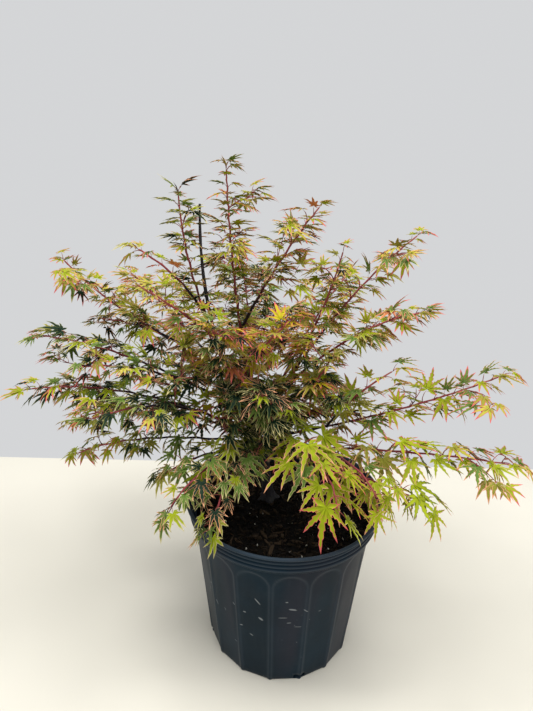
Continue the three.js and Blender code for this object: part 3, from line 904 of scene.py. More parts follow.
SMALLEST, SIZE_RANGE, SIZE_SKEW = 0.74, 0.60, 1.7  # a leaf's size over that of its spray
STALK_LENGTH = (0.34, 0.62)  # range of a stalk's length over its leaf's
STALK_RISE = 0.22  # how much a stalk rises
LEVELLED = 0.35  # share of its stalk's slope that a blade takes on
TURN_SPREAD, HANG_SPREAD = 18, 11  # degrees by which blades turn and droop unlike each other
ROLL_SPREAD = 0.19  # by which they roll
BLADE_MIDDLE = 0.42  # share of a leaf's length from its heart to its middle
TIP_REACH = 0.95  # share of a leaf's length by which it passes the end of its shoot
CROWDED, LARGE_CROWDED = 0.34, 0.48  # shares of its length that a leaf keeps clear about its middle
TIPWARDS = 0.7  # share of a shoot after which leaves may have tip colours
TIP_COLOURED = 0.4  # share of those leaves that have
LEAF_LOW, LEAF_HIGH = np.array(CAD_BOX[0]) - 8 * MM, np.array(CAD_BOX[1]) + 8 * MM


def seed_of(name):
    """A number of its own for each name, to seed what grows there."""
    return sum((place + 1) * ord(letter) for place, letter in enumerate(name))


def pick(weights, rng):
    """A name drawn by its weight."""
    names = list(weights)
    shares = np.array([weights[name] for name in names], float)
    return names[rng.choice(len(names), p=shares / shares.sum())]


def sideways(direction):
    """A level vector square to a direction, and the one square to both."""
    side = np.cross(direction, UP)
    if np.linalg.norm(side) < 0.15:
        side = np.cross(direction, np.array([0.0, 1.0, 0.0]))
    side = unit(side)
    return side, unit(np.cross(side, direction))


def swung(direction, angle, turn):
    """A direction swung off another by an angle, on the side given by a turn about it."""
    side, top = sideways(direction)
    around = side * math.cos(math.radians(turn)) + top * math.sin(math.radians(turn))
    lean = math.radians(angle)
    return unit(direction * math.cos(lean) + around * math.sin(lean))


class Places:
    """Places with their directions, which can be searched while more are added."""

    SIDE_COST, AHEAD_GAIN = 1.35, 0.55  # of a twig's length, which costs least straight ahead

    def __init__(self, room=60000):
        self.points = np.full((room, 3), 100.0)
        self.ahead = np.zeros((room, 3))
        self.width = np.zeros(room)
        self.count = 0

    def add(self, point, ahead=UP, width=0.0):
        self.points[self.count] = point
        self.ahead[self.count] = ahead
        self.width[self.count] = width
        self.count += 1

    def gap(self, point):
        """Distance from a point to the nearest place."""
        return np.linalg.norm(self.points[:self.count] - point, axis=1).min(initial=1.0)

    def source(self, point):
        """The place from which a twig reaches a point best: near, and behind it on its shoot."""
        towards = point - self.points[:self.count]
        length = np.linalg.norm(towards, axis=1)
        forward = (towards * self.ahead[:self.count]).sum(1) / np.maximum(1e-6, length)
        cost = length * (self.SIDE_COST - self.AHEAD_GAIN * forward)
        best = int(cost.argmin())
        return best, length[best]


class Plant:
    """Grows main shoots, twigs and leaves in every mass of the frame."""

    def __init__(self, twig_spacing, leaf_spacing, openness, scale, seed):
        self.twig_spacing, self.leaf_spacing = twig_spacing, leaf_spacing
        self.openness, self.scale = openness, scale
        self.lines = frame_limbs()
        self.masses = {spray: Mass(spray.name) for spray in SPRAYS}
        self.lows = np.array([mass.points.min(0) - Mass.WIDE_MARGIN for mass in self.masses.values()])
        self.highs = np.array([mass.points.max(0) + Mass.WIDE_MARGIN for mass in self.masses.values()])
        self.limbs, self.twigs, self.leaves = {}, [], []
        self.nodes, self.blades = Places(), Places()
        for name in ("trunk", "cut_stem"):
            self.limbs[name] = Limb(*self.lines[name], np.zeros(len(self.lines[name][0])))
        for spray in SPRAYS:
            self.rng = np.random.default_rng(seed * 1000 + seed_of(spray.name))
            self.main_shoot(spray)
        self.rng = np.random.default_rng(seed)
        self.fill()

    def course(self, spray):
        """The wood that a main shoot grows on from, and the middle and end of its curve."""
        mass = self.masses[spray]
        if spray.parent:
            line = self.lines[spray.parent][0]
            gaps = [mass.tree.find_nearest(Vector(point))[3] for point in line]
            near = np.flatnonzero(np.array(gaps) < min(gaps) + FORK_SLACK)
            start = line[near[len(near) // 2]]
            end = mass.farthest(start)
            middle = 2 * mass.middle_of(start, end) - (start + end) / 2
            return np.array([start]), np.array([FORK_RADIUS]), middle, end
        path, radius = self.lines[spray.name]
        start, ahead = path[-1], unit(path[-1] - path[-3])
        end = mass.farthest(start)
        chord = end - start
        lean = max(LEAST_LEAN, float(ahead @ unit(chord)))
        middle = start + ahead * 0.5 * np.linalg.norm(chord) / lean
        return path, radius, middle, end

    def main_shoot(self, spray):
        """The main shoot of a spray, on from its bough or from a fork of its parent, in leaf."""
        leaf = spray.leaf * MM * self.scale
        path, radius, middle, end = self.course(spray)
        onward = unit(end - middle)
        end = end - onward * leaf * TIP_REACH * (1.0 - 0.5 * max(0.0, onward[2]))
        shoot = bent(path[-1], middle, end)
        shoot_radius = np.linspace(min(radius[-1], SHOOT_BASE), SHOOT_TIP, len(shoot))
        whole = np.concatenate([path, shoot[1:]])
        wide = np.concatenate([radius, shoot_radius[1:]])
        bare = path_length(path)[-1]
        whole, wide = resampled(rounded(whole, 2), SHOOT_STEP, wide)
        length = path_length(whole)[-1]
        nodes = self.shoot_nodes(FIRST_NODE * bare, length)
        whole = self.zigzag(whole, nodes)
        along = path_length(whole)
        youth = (along / along[-1] - (1.0 - spray.flush) * 0.75) / max(0.25, spray.flush)
        youth = np.clip(youth, 0.0, 1.0) * min(1.0, 0.4 + 0.7 * spray.flush)
        self.limbs[spray.name] = Limb(whole, self.knuckled(whole, wide, nodes), youth)
        turn = self.rng.uniform(-30, 30)
        for node in nodes:
            place, ahead = at_length(whole, node)
            self.nodes.add(place, ahead, np.interp(node, along, wide))
            turn += QUARTER_TURN + self.rng.uniform(-20, 20)
            tipwards = node / length
            if tipwards > FIRST_LEAF:
                size = leaf * (1.0 - TIP_SHRINK * tipwards ** 3)
                margin = Mass.WIDE_MARGIN if node > bare else Mass.MARGIN
                self.pair(spray, place, ahead, turn, size, tipwards, margin)
        self.end_leaves(spray, whole[-1], unit(whole[-1] - whole[-4]), leaf, Mass.WIDE_MARGIN)

    def shoot_nodes(self, start, length):
        """Distances of a shoot's nodes, closer together towards its tip."""
        nodes = []
        at = start + self.twig_spacing * self.rng.uniform(0.3, 0.7)
        while at < length - NO_NODE:
            nodes.append(at)
            left = min(1.0, 2.5 * (length - at) / max(1e-6, length - start))
            at += self.twig_spacing * self.rng.uniform(0.85, 1.15) * (0.6 + 0.4 * left)
        return nodes

    def zigzag(self, path, nodes):
        """Bends a shoot a little the other way at each node."""
        if len(nodes) < 2:
            return path
        ways = [(-1) ** number for number in range(len(nodes))]
        sway = SWAY * np.interp(path_length(path), nodes, ways, left=0, right=0)
        turn = self.rng.uniform(0, 360)
        side = np.array([swung(ahead, QUARTER_TURN, turn) for ahead in tangents(path)])
        return path + side * sway[:, None]

    @staticmethod
    def knuckled(path, radius, nodes):
        """Radii that swell at the nodes."""
        along = path_length(path)
        swell = sum((np.exp(-((along - node) / KNUCKLE) ** 2) for node in nodes), np.zeros(len(along)))
        return radius * (1 + SWELL * swell)

    def fill(self):
        """Sends a twig to every place in the masses that is still too far from any leaf, the places
        that are farthest from the limbs first, and its twin to the other side of its node."""
        spots = [(spot, spray) for spray, mass in self.masses.items() for spot in mass.spots(self.rng)]
        order = [-self.nodes.gap(spot) * self.rng.uniform(0.6, 1.0) for spot, _ in spots]
        for index in np.argsort(order):
            spot, spray = spots[index]
            gap = spray.gap * MM * self.openness
            if self.blades.gap(spot) < gap:
                continue
            source, distance = self.nodes.source(spot)
            if distance > LONGEST_TWIG:
                continue
            place, ahead = self.nodes.points[source].copy(), self.nodes.ahead[source].copy()
            width = self.nodes.width[source]
            towards = spot - place
            self.twig(spray, place, ahead, width, towards)
            twin = 2 * (ahead @ towards) * ahead - towards
            if self.blades.gap(place + twin) > TWIN_GAP * gap and self.holds(place + twin):
                self.twig(spray, place, ahead, width, twin)

    def holds(self, point, margin=Mass.MARGIN):
        """Whether a place is in any mass."""
        near = ((point > self.lows) & (point < self.highs)).all(1)
        return any(mass.holds(point, margin)
                   for mass, is_near in zip(self.masses.values(), near) if is_near)

    def twig(self, spray, place, ahead, width, towards):
        """A twig with leaves from a node to a place, or only a leaf where that is near."""
        rng = self.rng
        leaf = spray.leaf * MM * self.scale
        distance = np.linalg.norm(towards)
        size = distance - LEAF_REACH * leaf
        direction = unit(towards)
        if size < SHORTEST_TWIG:
            stalk = min(1.0, max(0.3, distance / leaf - 0.45))
            self.leaf(spray, place, direction, leaf, 0.3, stalk=stalk)
            return
        end = place + direction * size + UP * size * rng.uniform(-0.04, 0.05)
        middle = place + unit(direction + TWIG_CURVE * ahead) * size * 0.5
        path = resampled(bent(place, middle, end, 12), TWIG_STEP)[0]
        length = path_length(path)[-1]
        base = min(0.8 * width, TWIG_BASE + TWIG_TAPER * size)
        before = len(self.leaves), self.blades.count, self.nodes.count
        at = min(TWIG_FOOT, 0.6 * length) * rng.uniform(0.8, 1.2)
        turn = rng.uniform(-25, 25)
        while at < length - TWIG_END:
            spot, onward = at_length(path, at)
            self.nodes.add(spot, onward, base * 0.8)
            self.pair(spray, spot, onward, turn, leaf * (1.0 - TWIG_SHRINK * at / length),
                      0.4 + 0.4 * at / length)
            at += self.leaf_spacing * rng.uniform(0.85, 1.2)
            turn += QUARTER_TURN + rng.uniform(-25, 25)
        self.end_leaves(spray, path[-1], unit(path[-1] - path[-2]), leaf)
        if (len(self.leaves) - before[0]) * BARE_LENGTH < size:
            del self.leaves[before[0]:]
            self.blades.count, self.nodes.count = before[1:]
            return
        self.twigs.append(Twig(path, base, TWIG_TIP, min(1.0, spray.flush * rng.uniform(0.6, 1.4))))

    def pair(self, spray, place, ahead, turn, leaf, tipwards, margin=Mass.MARGIN):
        """Two leaves on opposite sides of a node."""
        for half_turn in (0.0, 180.0):
            angle = PAIR_ANGLE + self.rng.uniform(-8, 8)
            self.leaf(spray, place, swung(ahead, angle, turn + half_turn), leaf, tipwards, margin)

    def end_leaves(self, spray, place, ahead, leaf, margin=Mass.MARGIN):
        """The last leaves of a shoot: a pair, and often a small one straight on."""
        turn = self.rng.uniform(-30, 30)
        for half_turn in (0.0, 180.0):
            away = swung(ahead, END_ANGLE, turn + half_turn)
            self.leaf(spray, place, away, leaf * END_SIZE, 1.0, margin)
        if self.rng.random() < LAST_SHARE:
            self.leaf(spray, place, swung(ahead, LAST_ANGLE, turn), leaf * LAST_SIZE, 1.0, margin, 0.2)

    def leaf(self, spray, foot, direction, size, tipwards, margin=Mass.MARGIN, stalk=None):
        """One leaf on its stalk, its blade nearly level and drooping outwards, where none is yet."""
        rng = self.rng
        size = size * (SMALLEST + SIZE_RANGE * rng.random() ** SIZE_SKEW)
        stalk = stalk or rng.uniform(*STALK_LENGTH)
        heart = foot + unit(direction + UP * STALK_RISE) * size * stalk
        turn = math.radians(rng.normal(0, TURN_SPREAD))
        level = unit(np.array([direction[0] * math.cos(turn) - direction[1] * math.sin(turn),
                               direction[0] * math.sin(turn) + direction[1] * math.cos(turn),
                               direction[2] * LEVELLED]))
        hang = math.radians(spray.hang + rng.normal(0, HANG_SPREAD))
        side = unit(np.cross(level, UP) + rng.normal(0, ROLL_SPREAD, 3))
        flat = unit(np.cross(side, level))
        forward = unit(level * math.cos(hang) - flat * math.sin(hang))
        middle, tip = heart + forward * BLADE_MIDDLE * size, heart + forward * size
        large = bool(size > LARGE_LEAF * MM)
        if self.blades.gap(middle) < (LARGE_CROWDED if large else CROWDED) * size:
            return
        if not self.holds(middle, margin):
            return
        if (tip < LEAF_LOW).any() or (tip > LEAF_HIGH).any():
            return
        self.blades.add(middle)
        coloured = tipwards > TIPWARDS and spray.palette in TIP_COLOURS and rng.random() < TIP_COLOURED
        greens, rims = PALETTES["tips" if coloured else spray.palette]
        green, rim = pick(greens, rng), pick(rims, rng)
        if green == "gold":
            rim = "rose"
        self.leaves.append(Leaf(foot, heart, forward, unit(np.cross(side, forward)), size,
                                green, rim, large, spray.name))


_grown = {}


def grown():
    """The plant, grown once for the operators that show it, and anew when its settings change."""
    wood, leaves = bpy.context.scene.potted_maple_wood, bpy.context.scene.potted_maple_leaves
    settings = wood.twig_spacing, leaves.leaf_spacing, leaves.openness, leaves.size, leaves.seed
    if settings not in _grown:
        _grown.clear()
        _grown[settings] = Plant(*settings)
    return _grown[settings]


# ---------- wood ----------


def limb_rings(path, radius):
    """A matrix for each ring of a limb, carried along it without twisting."""
    matrices = []
    ahead = tangents(path)
    side, _ = sideways(ahead[0])
    for point, direction, size in zip(path, ahead, radius):
        side = unit(side - direction * (side @ direction))
        top = np.cross(direction, side)
        matrices.append(Matrix([[*(side * size)], [*(top * size)], [*(direction * size)]]).transposed()
                        .to_4x4())
        matrices[-1].translation = Vector(point)
    return matrices


FINE_ACROSS, FINE_ALONG, BROAD = 420, 160, 90  # how fast the bark's fine and broad relief change
BROAD_SHARE = 0.8  # depth of the broad relief over the fine


def limb_mesh(path, radius, sides, relief, pointed):
    """A tapering tube along a path, its bark raised by a seeded noise. Returns its bmesh and rings."""
    mesh = bmesh.new()
    matrices = limb_rings(path, radius)
    ring = bmesh.ops.create_circle(mesh, cap_ends=True, segments=sides, radius=1.0)["verts"]
    bmesh.ops.transform(mesh, matrix=matrices[0], verts=ring)
    rings = [ring]
    edges = ring_edges(ring)
    for before, after in zip(matrices, matrices[1:]):
        ring, edges = extruded(mesh, edges)
        bmesh.ops.transform(mesh, matrix=after @ before.inverted(), verts=ring)
        rings.append(ring)
    bmesh.ops.edgeloop_fill(mesh, edges=edges)
    if relief:
        for ring, centre in zip(rings, path):
            for vert in ring:
                out = vert.co - Vector(centre)
                across, along = vert.co.xy * FINE_ACROSS, vert.co.z * FINE_ALONG
                fine = noise.noise(Vector((*across, along)))
                broad = noise.noise(vert.co * BROAD)
                vert.co += out * relief * (fine + BROAD_SHARE * broad)
    if pointed:
        bmesh.ops.pointmerge(mesh, verts=rings[-1], merge_co=Vector(path[-1]))
    bmesh.ops.recalc_face_normals(mesh, faces=mesh.faces)
    return mesh, rings


def wood_arrays(path, radius, sides, relief=0.0, pointed=True):
    """The points and triangles of a limb."""
    mesh, _ = limb_mesh(path, radius, sides, relief, pointed)
    shape = shape_of(mesh)
    return shape.points, shape.triangles


TRUNK_RADIUS = 7.8 * MM  # at most, before the foot and the graft swell
FLARE, FLARE_HEIGHT = 0.55, 7 * MM  # how much wider the trunk's foot is, and how soon that fades
ROOTS, ROOT_SWELL, ROOT_HEIGHT = 5, 0.5, 6 * MM
GRAFT_LEVEL, GRAFT_SWELL, GRAFT_LENGTH = 62 * MM, 0.22, 9 * MM
STUB_WAY = (0.55, -0.75, 0.55)  # in which the cut stub at the graft points
STUB_BEND, STUB_END = 7 * MM, 11 * MM  # distances from the trunk's centreline
STUB_RADII, CUT_RADII = (5.2, 3.9), (3.5, 3.1)  # millimetres at the start and the end
BOUGH_SIDES, TWIG_SIDES, TRUNK_SIDES, STEM_SIDES, STUB_SIDES = 10, 5, 40, 12, 20
TRUNK_STEP, STEM_STEP, STUB_STEP = 1.2 * MM, 2.0 * MM, 1.5 * MM  # between rings
COLLAR, COLLAR_LENGTH = 0.35, 5 * MM  # how much wider a bough starts, and how soon that fades


class POTTED_MAPLE_OT_trunk(bpy.types.Operator):
    """Makes the trunk with its root flare, its graft and the dead stem that was cut off"""

    bl_idname = "potted_maple.trunk"
    bl_label = "Trunk"

    def execute(self, context):
        wood = context.scene.potted_maple_wood
        plant = grown()
        limb = plant.limbs["trunk"]
        path, radius = resampled(limb.path, TRUNK_STEP, limb.radius)
        height = path[:, 2] - path[0, 2]
        flare = 1 + FLARE * np.exp(-height / FLARE_HEIGHT)
        graft = 1 + GRAFT_SWELL * np.exp(-((height - GRAFT_LEVEL) / GRAFT_LENGTH) ** 2)
        mesh, rings = limb_mesh(path, np.minimum(radius, TRUNK_RADIUS) * flare * graft, TRUNK_SIDES,
                                wood.relief * 0.7, pointed=False)
        for ring in rings:
            for vert in ring:
                climb = max(0.0, vert.co.z - path[0, 2])
                angle = math.atan2(vert.co.y - path[0, 1], vert.co.x - path[0, 0])
                roots = math.exp(-climb / ROOT_HEIGHT) * (0.5 + 0.5 * math.cos(ROOTS * angle + 0.7))
                out = vert.co - Vector((path[0, 0], path[0, 1], vert.co.z))
                vert.co += out * ROOT_SWELL * roots
        bark = trunk_bark(wood.old_bark)
        piece_from_bmesh("trunk_bark", mesh, bark, ["trunk"])

        place, _ = at_length(path, GRAFT_LEVEL)
        out = unit(np.array(STUB_WAY))
        stub = np.array([place, place + out * STUB_BEND, place + out * STUB_END])
        line = resampled(stub, STUB_STEP)[0]
        collar = wood_arrays(line, np.linspace(*STUB_RADII, len(line)) * MM, STUB_SIDES, wood.relief,
                             pointed=False)
        piece_from_arrays("graft_collar", [collar], bark)
        face = np.array([line[-1] - out * 0.6 * MM, line[-1] + out * 0.5 * MM])
        cut = wood_arrays(face, np.array(CUT_RADII) * MM, STUB_SIDES, 0.05, pointed=False)
        piece_from_arrays("graft_cut", [cut], cut_wood(wood.cut_wood))

        limb = plant.limbs["cut_stem"]
        path, radius = resampled(limb.path, STEM_STEP, limb.radius)
        stem = wood_arrays(path, radius, STEM_SIDES, wood.relief, pointed=False)
        piece_from_arrays("cut_stem_bark", [stem], bark, ["cut_stem"])
        return {"FINISHED"}


class POTTED_MAPLE_OT_boughs(bpy.types.Operator):
    """Makes every bough and its main shoot, with knuckles at the nodes and bark relief"""

    bl_idname = "potted_maple.boughs"
    bl_label = "Boughs"

    def execute(self, context):
        wood = context.scene.potted_maple_wood
        plant = grown()
        groups = {"boughs_left": [], "boughs_middle": [], "boughs_right": []}
        for name, limb in plant.limbs.items():
            if name in ("trunk", "cut_stem"):
                continue
            group = "boughs_middle"
            if name.startswith(("left", "far_left", "back_left", "back_low_left")):
                group = "boughs_left"
            elif name.startswith(("right", "back_right", "back_low_right")):
                group = "boughs_right"
            groups[group].append((name, limb))
        bark = shoot_bark(wood.dark_bark, wood.young_bark, wood.tip_bark)
        for group, members in groups.items():
            parts, youth = [], []
            for _, limb in members:
                collar = 1 + COLLAR * np.exp(-path_length(limb.path) / COLLAR_LENGTH)
                points, triangles = wood_arrays(limb.path, limb.radius * collar, BOUGH_SIDES, wood.relief)
                near = np.linalg.norm(points[:, None] - limb.path[None], axis=2).argmin(1)
                youth.append(limb.youth[near])
                parts.append((points, triangles))
            nodes = [f"bough_{name}" for name, _ in members if f"bough_{name}" in WOOD_NODES]
            piece = piece_from_arrays(group, parts, bark, nodes)
            layer = piece.data.attributes.new("youth", "FLOAT", "POINT")
            layer.data.foreach_set("value", np.concatenate(youth))
        return {"FINISHED"}


class POTTED_MAPLE_OT_twigs(bpy.types.Operator):
    """Makes the twigs, joined by how young they are"""

    bl_idname = "potted_maple.twigs"
    bl_label = "Twigs"

    def execute(self, context):
        wood = context.scene.potted_maple_wood
        dark, young, tip = wood.dark_bark, wood.young_bark, wood.tip_bark
        kinds = (("twigs_dark", 0.0, 0.38, tinted(dark, 1.3), tinted(young, 0.5)),
                 ("twigs_red", 0.38, 0.8, tinted(young, 0.5), tinted(young, 1.1)),
                 ("twigs_rose", 0.8, math.inf, tinted(young, 1.1), tinted(tip, 0.8)))
        for name, youngest, oldest, colour, tip_colour in kinds:
            parts = [wood_arrays(twig.path, np.linspace(twig.base, twig.tip, len(twig.path)), TWIG_SIDES)
                     for twig in grown().twigs if youngest <= twig.youth < oldest]
            if parts:
                piece_from_arrays(name, parts, stalk_skin(name, colour, tip_colour))
        return {"FINISHED"}


# ---------- leaves ----------


class Blade(NamedTuple):
    """The outline of one lobe as shares of its length: how far out its sinuses are, half the width
    of its green, its pale rim, where its stations stand, where its green ends, and its teeth."""

    sinus: float
    half: float
    rim: float
    stations: tuple
    point: float
    tooth: float


COMMON_BLADE = Blade(0.17, 0.055, 0.023, (0.46,), 0.81, 0.035)
FINE_BLADE = Blade(0.17, 0.050, 0.013, (0.31, 0.49, 0.68), 0.86, 0.040)
SMALL_BLADE = Blade(0.38, 0.085, 0.028, (), 0.84, 0.03)
LOBE_SPREAD = math.radians(23.0)  # from a lobe's midrib to its sinuses
FOLD, DROOP = (0.25, 0.75), (0.04, 0.28)  # ranges of how much a leaf's lobes fold and hang
LOBE_LENGTH, LOBE_WIDTH, LOBE_CURL = (0.80, 1.08), (0.75, 1.2), (0.7, 1.5)  # ranges of shares
LOBE_TURN, LOBE_SWEEP = (-5, 5), (-0.15, 0.15)  # ranges of degrees and of sideways bend
COMMON_SHAPES, FINE_SHAPES = 8, 6  # how many leaves of a kind differ
LOBES = (  # degrees from the middle lobe, and length over its length
    (0.0, 1.0), (33.0, 0.93), (-33.0, 0.93), (68.0, 0.72), (-68.0, 0.72), (112.0, 0.36), (-112.0, 0.36),
)


def lobe_half(blade, share):
    """Half the width of a lobe at a share of its length: widest early, then a long point."""
    rise = min(1.0, max(0.0, (share - blade.sinus * 0.6) / (0.42 - blade.sinus * 0.6)))
    fall = max(0.0, (1.0 - share) / 0.58)
    return blade.half * min(math.sin(rise * math.pi / 2) ** 0.8, fall ** 1.15)


def outer_edges(mesh):
    """The edges of half a lobe that lie along its outline."""
    return [edge for edge in mesh.edges if edge.is_boundary
            and max(vert.co.x for vert in edge.verts) > 1e-6
            and min(vert.co.length for vert in edge.verts) > 1e-6]


def lobe_shape(blade, spread):
    """A flat lobe along +Y, 1 long: midrib, green half, rim with teeth, and the mirrored side.
    Green triangles have tag 0 and rim triangles 1."""
    stations = (0.0, *blade.stations, blade.point)
    mesh = bmesh.new()
    midrib = [bmesh.ops.create_vert(mesh, co=(0.0, 0.0, 0.0))["vert"][0]]
    for share in stations[1:]:
        vert = bmesh.ops.extrude_vert_indiv(mesh, verts=[midrib[-1]])["verts"][0]
        vert.co = Vector((0.0, share, 0.0))
        midrib.append(vert)
    sinus = Vector((math.sin(spread), math.cos(spread), 0.0)) * blade.sinus
    verts, _ = extruded(mesh, ring_edges(midrib))
    verts.sort(key=lambda vert: vert.co.y)
    for vert, share in zip(verts, stations):
        vert.co.x = lobe_half(blade, share)
    verts[0].co = sinus * 0.88
    bmesh.ops.pointmerge(mesh, verts=[verts[-1], midrib[-1]], merge_co=midrib[-1].co)
    cut = bmesh.ops.subdivide_edges(mesh, edges=outer_edges(mesh), cuts=1)["geom_inner"]
    for vert in [item for item in cut if isinstance(item, bmesh.types.BMVert)]:
        taper = min(1.0, 1.7 * (1.0 - vert.co.y))
        vert.co += Vector((taper, taper * 1.2, 0.0)) * blade.tooth
    green = set(mesh.faces)
    verts, _ = extruded(mesh, outer_edges(mesh))
    verts.sort(key=lambda vert: vert.co.y)
    for vert in verts[1:-1]:
        vert.co += Vector((1.0, 0.5, 0.0)) * blade.rim
    verts[0].co = sinus
    verts[-1].co = Vector((0.0, 1.0, 0.0))
    for face in mesh.faces:
        face.material_index = 0 if face in green else 1
    bmesh.ops.mirror(mesh, geom=mesh.verts[:] + mesh.edges[:] + mesh.faces[:], axis="X", merge_dist=1e-5)
    mesh.normal_update()
    bmesh.ops.reverse_faces(mesh, faces=[face for face in mesh.faces if face.normal.z < 0])
    return shape_of(mesh)


def leaf_shape(blade, rng):
    """A whole leaf, 1 long and one of a kind: seven lobes, folded on their midribs and drooping."""
    parts, tags = [], []
    fold = rng.uniform(*FOLD)
    droop = rng.uniform(*DROOP)
    for number, (turn, share) in enumerate(LOBES):
        share = share * rng.uniform(*LOBE_LENGTH) if number else 1.0
        angle = math.radians(turn + rng.uniform(*LOBE_TURN))
        outline = SMALL_BLADE if number > 4 else blade
        outline = outline._replace(sinus=min(0.5, outline.sinus / share),
                                   half=outline.half * rng.uniform(*LOBE_WIDTH))
        lobe = lobe_shape(outline, LOBE_SPREAD)
        across, out = lobe.points[:, 0], lobe.points[:, 1]
        sweep = rng.uniform(*LOBE_SWEEP) - 0.08 * np.sign(turn)
        curl = droop * rng.uniform(*LOBE_CURL) + 0.08 * (number > 2)
        height = np.abs(across) * fold - curl * out * out * share + 0.015 * np.sin(9 * out + number)
        across = across + sweep * out * out
        points = np.stack([across * math.cos(angle) + out * math.sin(angle),
                           out * math.cos(angle) - across * math.sin(angle), height], axis=1)
        parts.append((points * share, lobe.triangles))
        tags.append(lobe.tags)
    return Shape(*joined(parts), np.concatenate(tags))


STALK_BEND = 0.14
STALK_RADII = (0.048, 0.032, 0.030, 0.040)


def stalk_shape():
    """A leaf stalk along +Z, 1 long, slightly bent and thicker at both ends."""
    share = np.linspace(0.0, 1.0, 4)
    path = np.stack([np.zeros(4), STALK_BEND * np.sin(share * math.pi), share], axis=1)
    points, triangles = wood_arrays(path, np.array(STALK_RADII), 4)
    return Shape(points, triangles, np.zeros(len(triangles), int))


class POTTED_MAPLE_OT_leaves(bpy.types.Operator):
    """Makes all leaves, each colour of blade and rim joined, and their stalks"""

    bl_idname = "potted_maple.leaves"
    bl_label = "Leaves"

    def execute(self, context):
        settings = context.scene.potted_maple_leaves
        rng = np.random.default_rng(settings.seed)
        leaves = grown().leaves
        if not leaves:
            raise RuntimeError("no leaves have grown")
        shapes = {False: [leaf_shape(COMMON_BLADE, rng) for _ in range(COMMON_SHAPES)],
                  True: [leaf_shape(FINE_BLADE, rng) for _ in range(FINE_SHAPES)]}
        kinds = rng.integers(0, 10 ** 6, len(leaves))
        parts = {name: [] for name in (*GREENS, *RIMS)}
        stands_for = {name: set() for name in (*GREENS, *RIMS)}
        for large, variants in shapes.items():
            for kind, shape in enumerate(variants):
                for tag, colours, key in ((0, GREENS, "green"), (1, RIMS, "rim")):
                    part = tagged(shape, tag)
                    for colour in colours:
                        chosen = [leaf for leaf, number in zip(leaves, kinds)
                                  if leaf.large == large and number % len(variants) == kind
                                  and getattr(leaf, key) == colour]
                        if chosen:
                            parts[colour].append(self.stamped(part, chosen))
                            stands_for[colour] |= {f"foliage_{leaf.spray}" for leaf in chosen}
        for colour, members in parts.items():
            if members:
                name = f"blades_{colour}" if colour in GREENS else f"rims_{colour}"
                skin = leaf_skin(name, (GREENS | RIMS)[colour], 0.22 if colour in GREENS else 0.12,
                                 FLECKS.get(colour, 0.0))
                piece_from_arrays(name, members, skin, sorted(stands_for[colour]))
        stalks = self.stalks(stalk_shape(), leaves)
        skin = stalk_skin("leaf_stalk", settings.petiole, tinted(settings.petiole, 1.5))
        piece_from_arrays("leaf_stalks", [stalks], skin)
        return {"FINISHED"}

    @staticmethod
    def stamped(shape, leaves):
        """A blade's shape at the heart of every leaf."""
        forward = np.array([leaf.forward for leaf in leaves])
        normal = np.array([leaf.normal for leaf in leaves])
        size = np.array([leaf.size for leaf in leaves])
        turns = np.stack([np.cross(forward, normal), forward, normal], axis=2) * size[:, None, None]
        return stamp(shape, turns, np.array([leaf.heart for leaf in leaves]))

    @staticmethod
    def stalks(shape, leaves):
        """A stalk from the foot to the heart of every leaf."""
        feet = np.array([leaf.foot for leaf in leaves])
        along = np.array([leaf.heart for leaf in leaves]) - feet
        length = np.linalg.norm(along, axis=1)[:, None]
        side = np.cross(along, UP) / length
        side /= np.maximum(0.1, np.linalg.norm(side, axis=1))[:, None]
        top = np.cross(side, along / length)
        return stamp(shape, np.stack([side * length, top * length, along], axis=2), feet)


# ---------- pot ----------

BAND_FOOT = POT_HEIGHT - 0.029
BASE_RADIUS = 0.108
BODY_TOP_RADIUS = 0.1275
FACET_RISE = 0.196
FACET_TURN = math.radians(-7.7)
RIB_HALF_WIDTH = 0.0013
ARCH_TOP = BAND_FOOT - 0.009
PANEL_EDGE = 0.0024
PANEL_DEPTH = 0.0011
HIGHLIGHT_PLACE, HIGHLIGHT_WIDTH = 0.4, 0.7  # of the painted highlight along a panel's edge, over the edge's width
FACET_STEPS = 20  # points round each facet
DRAIN_TURN = math.radians(15.0)
DRAIN_HALF_WIDTH = 0.008
DRAIN_HEIGHT = 0.009
DRAIN_DEPTH = 0.010
BASE_CHAMFER = 0.001
BASE_RINGS = (0.07, 0.03)  # radii of the rings of the flat base
WALL_LEVELS = (0.003, DRAIN_HEIGHT, *np.linspace(0.014, 0.16, 24), *np.linspace(0.1625, BAND_FOOT, 26))
# The rim's section, as distances under the lip and radii, from the body up, over and down inside.
RIM_OUTSIDE = ((0.0315, 0.1262), (0.0290, 0.1296), (0.0284, 0.1322), (0.0272, 0.1330))
RIM_RIDGES = (0.0232, 0.0174, 0.0116)
RIM_LIP = ((0.0066, 0.1336), (0.0052, 0.1358), (0.0042, 0.1384), (0.0028, 0.1394), (0.0014, 0.1393),
           (0.0003, 0.1384), (0.0000, 0.1374), (0.0002, 0.1360), (0.0012, 0.1350), (0.0042, 0.1334),
           (0.0080, 0.1318), (0.0200, 0.1306), (0.0270, 0.1292), (0.0300, 0.1262), (0.0400, 0.1246))
RIDGE_ROOT = 0.0002  # by which the ridges start behind the rim's surface
RIDGE_SECTION = ((0.0022, 0.0), (0.0013, 0.75), (0.0, 1.0), (-0.0013, 0.75), (-0.0022, 0.0))


